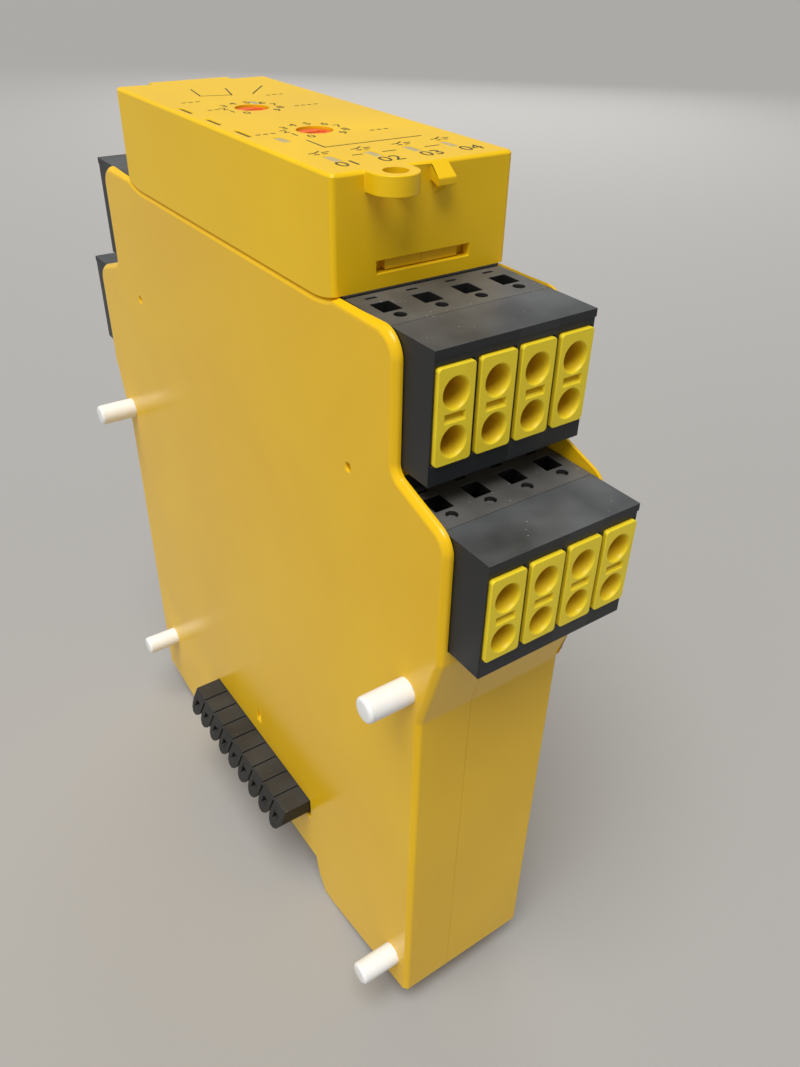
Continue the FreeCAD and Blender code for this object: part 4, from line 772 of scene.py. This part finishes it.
# %% Locating pins
ROOT_HALF, TIP_ROUND, TURN_STEPS = 1.1 * MM, 0.5 * MM, 56
panel_x = outer["left_shell"]
for place in PLACES:
    node = "locating_pin_" + place
    low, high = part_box(node)
    centre = (low + high) / 2
    radius = (high.y - low.y) / 2
    shape = bmesh.new()
    corners = ((low.x, 0), (low.x, radius), (panel_x, radius), (panel_x, 0))
    outline = [shape.verts.new((x, r, 0)) for x, r in corners]
    for first, second in zip(outline, outline[1:]):
        shape.edges.new((first, second))
    bmesh.ops.spin(shape, geom=shape.verts[:] + shape.edges[:], cent=(0, 0, 0), axis=(1, 0, 0),
                   angle=math.tau, steps=TURN_STEPS, use_merge=True, dvec=(0, 0, 0))
    bmesh.ops.remove_doubles(shape, verts=shape.verts, dist=TOUCHING)
    tip_rim = [e for e in shape.edges if all(v.co.x < low.x + TOUCHING for v in e.verts)
               and all(v.co.yz.length > radius / 2 for v in e.verts)]
    round_off(shape, tip_rim, TIP_ROUND, segments=5)
    root = bmesh.ops.create_cube(shape, size=1.0)["verts"]
    bmesh.ops.scale(shape, verts=root, vec=(high.x - panel_x, 2 * ROOT_HALF, 2 * ROOT_HALF))
    bmesh.ops.translate(shape, verts=root, vec=((high.x + panel_x) / 2, 0, 0))
    bmesh.ops.translate(shape, verts=shape.verts, vec=(0, centre.y, centre.z))
    bmesh.ops.recalc_face_normals(shape, faces=shape.faces)
    pin = stand_for(as_piece(shape, node + "_turned", finishes["pin_plastic"]), node)
    print(pin.name, "tip rim edges:", len(tip_rim), "radius:", round(radius / MM, 2))

# %% [markdown]
# Each pole has a yellow insert with two oval funnels that guide the stripped wires, and a narrow
# slot between them for a test probe. Booleans could cut the holes, but they can leave long thin
# faces round them, which shade badly once the rims are rounded. Closed outlines that are drawn out
# in steps give clean walls, so two helpers come first: one makes an outline, one draws it out.

# %% Helpers: outlines drawn out
def ring(shape, sides, half_x, half_z, y, z):
    """A closed outline of edges, standing upright in the plane y."""
    verts = bmesh.ops.create_circle(shape, segments=sides, radius=1.0)["verts"]
    if sides == 4:
        bmesh.ops.rotate(shape, verts=verts, matrix=Matrix.Rotation(math.radians(45), 3, "Z"))
        half_x, half_z = half_x * math.sqrt(2), half_z * math.sqrt(2)
    bmesh.ops.scale(shape, verts=verts, vec=(half_x, half_z, 1))
    bmesh.ops.rotate(shape, verts=verts, matrix=Matrix.Rotation(math.radians(90), 3, "X"))
    bmesh.ops.translate(shape, verts=verts, vec=(0, y, z))
    return list(dict.fromkeys(e for v in verts for e in v.link_edges))


def drawn_out(shape, edges, move, size=(1, 1, 1), about=Vector((0, 0, 0))):
    """Extrude a closed outline, then move and resize its new end. Gives the new outline."""
    made = bmesh.ops.extrude_edge_only(shape, edges=edges)["geom"]
    verts = [g for g in made if isinstance(g, bmesh.types.BMVert)]
    bmesh.ops.translate(shape, verts=verts, vec=move)
    bmesh.ops.scale(shape, verts=verts, vec=size, space=Matrix.Translation(-about))
    return [e for e in made if isinstance(e, bmesh.types.BMEdge) and all(v in verts for v in e.verts)]


print("helpers:", [helper.__name__ for helper in (ring, drawn_out)])

# %% [markdown]
# The front is drawn as four outlines, and one fill closes the sheet round the three holes. The
# holes' edges are then drawn inwards and the outer edge backwards, so the insert becomes a closed
# solid. The slot narrows towards its upper edge, like a small ramp. The flange's corners and the
# rims of the mouths are rounded last.

# %% Wire-entry insert
WIDTH, HEIGHT, PROUD, FLANGE, DEPTH = 4.45 * MM, 10.4 * MM, 0.45 * MM, 1.15 * MM, 7.0 * MM
NECK, STEP = 3.9 * MM, 0.25 * MM
OVAL, OVAL_SIDES = (3.2 * MM / 2, 3.5 * MM / 2), 32
OVAL_ROWS = (2.35 * MM, -2.8 * MM)
MOUTH_DEPTH, MOUTH_SCALE, THROAT = 0.55 * MM, 0.85, 0.70
SLOT_Z, SLOT_SIZE, SLOT_DEPTH = -0.2 * MM, (2.5 * MM, 1.0 * MM), 0.8 * MM
SLOT_END, SLOT_UPPER = (0.94, 1, 0.35), 0.45
CORNER_SHARE, CORNER_ROUND, MOUTH_ROUND = 0.45, 0.42 * MM, 0.09 * MM


def on_flange_corner(middle):
    """Whether an edge runs backwards along one of the flange's four corners."""
    along = TOUCHING - PROUD < middle.y < FLANGE - TOUCHING
    return along and abs(middle.x) > CORNER_SHARE * WIDTH and abs(middle.z) > CORNER_SHARE * HEIGHT


def wire_insert():
    """One insert, facing -Y, with its front at -PROUD and its middle at the origin."""
    shape = bmesh.new()
    front = -PROUD
    outline = ring(shape, 4, WIDTH / 2, HEIGHT / 2, front, 0)
    ovals = [ring(shape, OVAL_SIDES, *OVAL, front, z) for z in OVAL_ROWS]
    slot = ring(shape, 4, SLOT_SIZE[0] / 2, SLOT_SIZE[1] / 2, front, SLOT_Z)
    bmesh.ops.triangle_fill(shape, edges=outline + ovals[0] + ovals[1] + slot, use_beauty=True,
                            use_dissolve=False, normal=(0, -1, 0))
    ends = []
    for oval, z in zip(ovals, OVAL_ROWS):
        lip = drawn_out(shape, oval, (0, MOUTH_DEPTH, 0), (MOUTH_SCALE, 1, MOUTH_SCALE), Vector((0, 0, z)))
        narrow = THROAT / MOUTH_SCALE
        ends += drawn_out(shape, lip, (0, DEPTH + PROUD - MOUTH_DEPTH, 0), (narrow, 1, narrow),
                          Vector((0, 0, z)))
    recess = drawn_out(shape, slot, (0, SLOT_DEPTH, 0), SLOT_END,
                       Vector((0, 0, SLOT_Z + SLOT_UPPER * SLOT_SIZE[1])))
    bmesh.ops.contextual_create(shape, geom=recess)
    flange = drawn_out(shape, outline, (0, PROUD + FLANGE, 0))
    step = drawn_out(shape, flange, (0, 0, 0), (NECK / WIDTH, 1, (HEIGHT - 2 * STEP) / HEIGHT))
    ends += drawn_out(shape, step, (0, DEPTH - FLANGE, 0))
    bmesh.ops.triangle_fill(shape, edges=ends, use_beauty=True, use_dissolve=False, normal=(0, 1, 0))
    bmesh.ops.recalc_face_normals(shape, faces=shape.faces)
    whole_faces(shape)
    corners = sharp_edges(shape, shortest=1.0 * MM, where=on_flange_corner)
    round_off(shape, corners, CORNER_ROUND, segments=4)
    rim = sharp_edges(shape, shortest=0.05 * MM, where=lambda middle: middle.y < front + TOUCHING)
    round_off(shape, rim, MOUTH_ROUND, segments=3)
    return shape


pattern = bpy.data.meshes.new("insert_pattern")
one = wire_insert()
open_edges = sum(1 for e in one.edges if not e.is_manifold)
one.to_mesh(pattern)
one.free()
print("insert faces:", len(pattern.polygons), "open edges:", open_edges)

# %% [markdown]
# The four inserts of a plug are separate solids in the frame. Walking over the joined points of
# the solid finds each one's box, and a copy of the pattern goes into each box. At the far end of
# the module the plugs face the other way, so there the pattern is turned half round first. Each
# point keeps its depth behind the front, and the colour is painted darker and more amber with it.
# This is painted shade for the light that bounces and scatters through the plastic in the funnels.

# %% Place the inserts
def solid_boxes(node):
    """The lowest and highest corner of each separate solid in a node, from left to right."""
    shape = merged(node)
    left = set(shape.verts)
    found = []
    while left:
        waiting = [left.pop()]
        island = []
        while waiting:
            point = waiting.pop()
            island.append(point.co.copy())
            near = [e.other_vert(point) for e in point.link_edges]
            fresh = [v for v in near if v in left]
            left.difference_update(fresh)
            waiting.extend(fresh)
        found.append((Vector(min(c[i] for c in island) for i in range(3)),
                      Vector(max(c[i] for c in island) for i in range(3))))
    shape.free()
    return sorted(found, key=lambda pair: pair[0].x)


PAINTED_SHADE_DEPTH = 2.6 * MM
for place in PLACES:
    node = "wire_entries_" + place
    facing = -1 if place.startswith("output") else 1
    whole = bmesh.new()
    for low, high in solid_boxes(node):
        centre = (low + high) / 2
        front_y = low.y + PROUD if facing < 0 else high.y - PROUD
        turn = Matrix.Rotation(0 if facing < 0 else math.pi, 4, "Z")
        before = len(whole.verts)
        whole.from_mesh(pattern)
        whole.verts.ensure_lookup_table()
        bmesh.ops.transform(whole, verts=whole.verts[before:],
                            matrix=Matrix.Translation((centre.x, front_y, centre.z)) @ turn)
    # The depth behind the front drives the painted shade inside the funnels.
    depth = whole.verts.layers.float.new("depth")
    for v in whole.verts:
        behind = v.co.y - low.y if facing < 0 else high.y - v.co.y
        v[depth] = min(max(behind / PAINTED_SHADE_DEPTH, 0), 1)
    piece = stand_for(as_piece(whole, node + "_funnels", finishes["entry_plastic"]), node)
    print(piece.name, "faces:", len(piece.data.polygons))
bpy.data.meshes.remove(pattern)

# %% [markdown]
# The dials are small rotors with a screwdriver slot and an arrow. Their edges get the smallest
# round of all, and so do the light guides that end flush in the cap. A larger one would eat into
# the slot, which is 0.6 mm wide.

# %% Dials and light guides
TINY_ROUND = 0.05 * MM
for place in ("output", "input"):
    softened("dial_" + place, TINY_ROUND, shortest=0.15 * MM)
softened("light_guides", TINY_ROUND, shortest=0.6 * MM)

# %% [markdown]
# The marks on the cap are pad-printed. Text could be left as a curve, but a mesh moves and exports
# like any other piece, so each figure is made a mesh, and every line is a thin bar. All of them
# are one ink layer thick and end exactly at the cap's height. Places and lengths are given in
# millimetres from the middle of the module.

# %% Helpers: figures and lines of ink
LINE, DASH = 0.20 * MM, 0.26 * MM
DASH_LENGTH, DASH_GAP = 0.30, 0.62
FIGURE_SHARE = 0.70
marks = bmesh.new()
ink_middle = cap_high.z - INK / 2


def figure(text, x, y, height):
    """Add a printed figure, its middle at a place on the cap."""
    curve = bpy.data.curves.new("figure", "FONT")
    curve.body = text
    curve.size = height * MM / FIGURE_SHARE
    curve.align_x, curve.align_y = "CENTER", "CENTER"
    curve.extrude = INK / 2
    curve.resolution_u = 3
    holder = bpy.data.objects.new("figure", curve)
    mesh = bpy.data.meshes.new_from_object(holder)
    mesh.transform(Matrix.Translation((x * MM, y * MM, ink_middle)))
    marks.from_mesh(mesh)
    bpy.data.objects.remove(holder)
    bpy.data.meshes.remove(mesh)
    bpy.data.curves.remove(curve)


def line(*points, width=LINE):
    """Add printed bars that join some places on the cap."""
    for (x0, y0), (x1, y1) in zip(points, points[1:]):
        bar = bmesh.ops.create_cube(marks, size=1.0)["verts"]
        bmesh.ops.scale(marks, verts=bar, vec=(math.hypot(x1 - x0, y1 - y0) * MM + width, width, INK))
        bmesh.ops.rotate(marks, verts=bar, matrix=Matrix.Rotation(math.atan2(y1 - y0, x1 - x0), 3, "Z"))
        bmesh.ops.translate(marks, verts=bar, vec=((x0 + x1) / 2 * MM, (y0 + y1) / 2 * MM, ink_middle))


def dashes(x, y, count):
    """Add a row of short printed dashes that starts at a place."""
    for i in range(count):
        start = x + i * (DASH_LENGTH + DASH_GAP)
        line((start, y), (start + DASH_LENGTH, y), width=DASH)


print("ink:", round(INK / MM, 3), "mm thick")

# %% [markdown]
# Each lamp has a number, a contact sign and two dashes. Each dial has ten figures in a ring, which
# count up clockwise and leave a gap towards the near end. A few thin lines and larger signs stand
# between them, and rows of dashes stand where small captions would.

# %% Printed marks
LAMP_MARKS = ((-7.5, -24.75), (-2.6, -24.95), (2.5, -24.95), (7.6, -24.95))
LAMP_SIGN = (((-1.1, 5.4), (-0.5, 5.4), (0.3, 6.0)), ((0.4, 5.4), (1.1, 5.4)))
LAMP_FIGURE, DIAL_FIGURE = 1.9, 1.3
DIGITS, DIGIT_RING, FIRST_ANGLE, ANGLE_STEP = 10, 3.5, 234, 32
SIGNS = (((-5.5, -13.6), (-5.6, -17.4), (6.6, -17.4)),
         ((-5.0, -21.9), (-3.9, -21.9)), ((-1.4, -22.0), (0.1, -22.0)), ((3.8, -22.2), (5.5, -22.2)),
         ((-3.2, 21.3), (-4.2, 16.2), (-0.2, 15.2), (1.3, 20.2)), ((2.7, 14.9), (6.7, 20.0)))
DASH_ROWS = ((3.4, -12.4, 3), (-9.0, -8.8, 3), (-7.4, 6.7, 2), (3.3, 4.6, 4), (-8.2, 12.6, 3),
             (3.8, 13.0, 3))
for index, (x, y) in enumerate(LAMP_MARKS):
    figure("0" + str(index + 1), x + 0.2, y, LAMP_FIGURE)
    for points in LAMP_SIGN:
        line(*[(x + right, y + up) for right, up in points])
    dashes(x - 0.7, y + 4.75, 2)
for place in ("output", "input"):
    low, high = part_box("dial_" + place)
    middle = (low + high) / 2 / MM
    for digit in range(DIGITS):
        way = math.radians(FIRST_ANGLE - ANGLE_STEP * digit)
        x, y = middle.x + DIGIT_RING * math.cos(way), middle.y + DIGIT_RING * math.sin(way)
        figure(str(digit), x, y, DIAL_FIGURE)
for points in SIGNS:
    line(*points)
for row in DASH_ROWS:
    dashes(*row)
prints = as_piece(marks, "front_prints", ink, weighted=False)
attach(prints, body_of["front_cap"])
print("print faces:", len(prints.data.polygons))

# %% [markdown]
# Three narrow grooves run along the left edge of the cap, where a label strip clips in. They look
# dark, because shade fills them. The walls of each groove could be given a second finish, but a
# thin dark sheet of painted shade, sunk into each groove, leaves the cap in one finish.

# %% Painted shade in the grooves
GROOVE_X, GROOVE_ROWS = -9.85 * MM, (-7.2 * MM, 0.1 * MM, 7.8 * MM)
SHADE_SHEET_SIZE, SHADE_SHEET_SUNK = (0.53 * MM, 3.88 * MM, 0.42 * MM), 0.38 * MM
groove_shade_sheets = bmesh.new()
for y in GROOVE_ROWS:
    bar = bmesh.ops.create_cube(groove_shade_sheets, size=1.0)["verts"]
    bmesh.ops.scale(groove_shade_sheets, verts=bar, vec=SHADE_SHEET_SIZE)
    bmesh.ops.translate(groove_shade_sheets, verts=bar, vec=(GROOVE_X, y, cap_high.z - SHADE_SHEET_SUNK))
# A dark sheet in the ink's colour stands where there is only shade: painted shade.
groove_shade_piece = as_piece(groove_shade_sheets, "groove_painted_shade", ink)
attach(groove_shade_piece, body_of["front_cap"])
print("grooves lined:", len(GROOVE_ROWS))
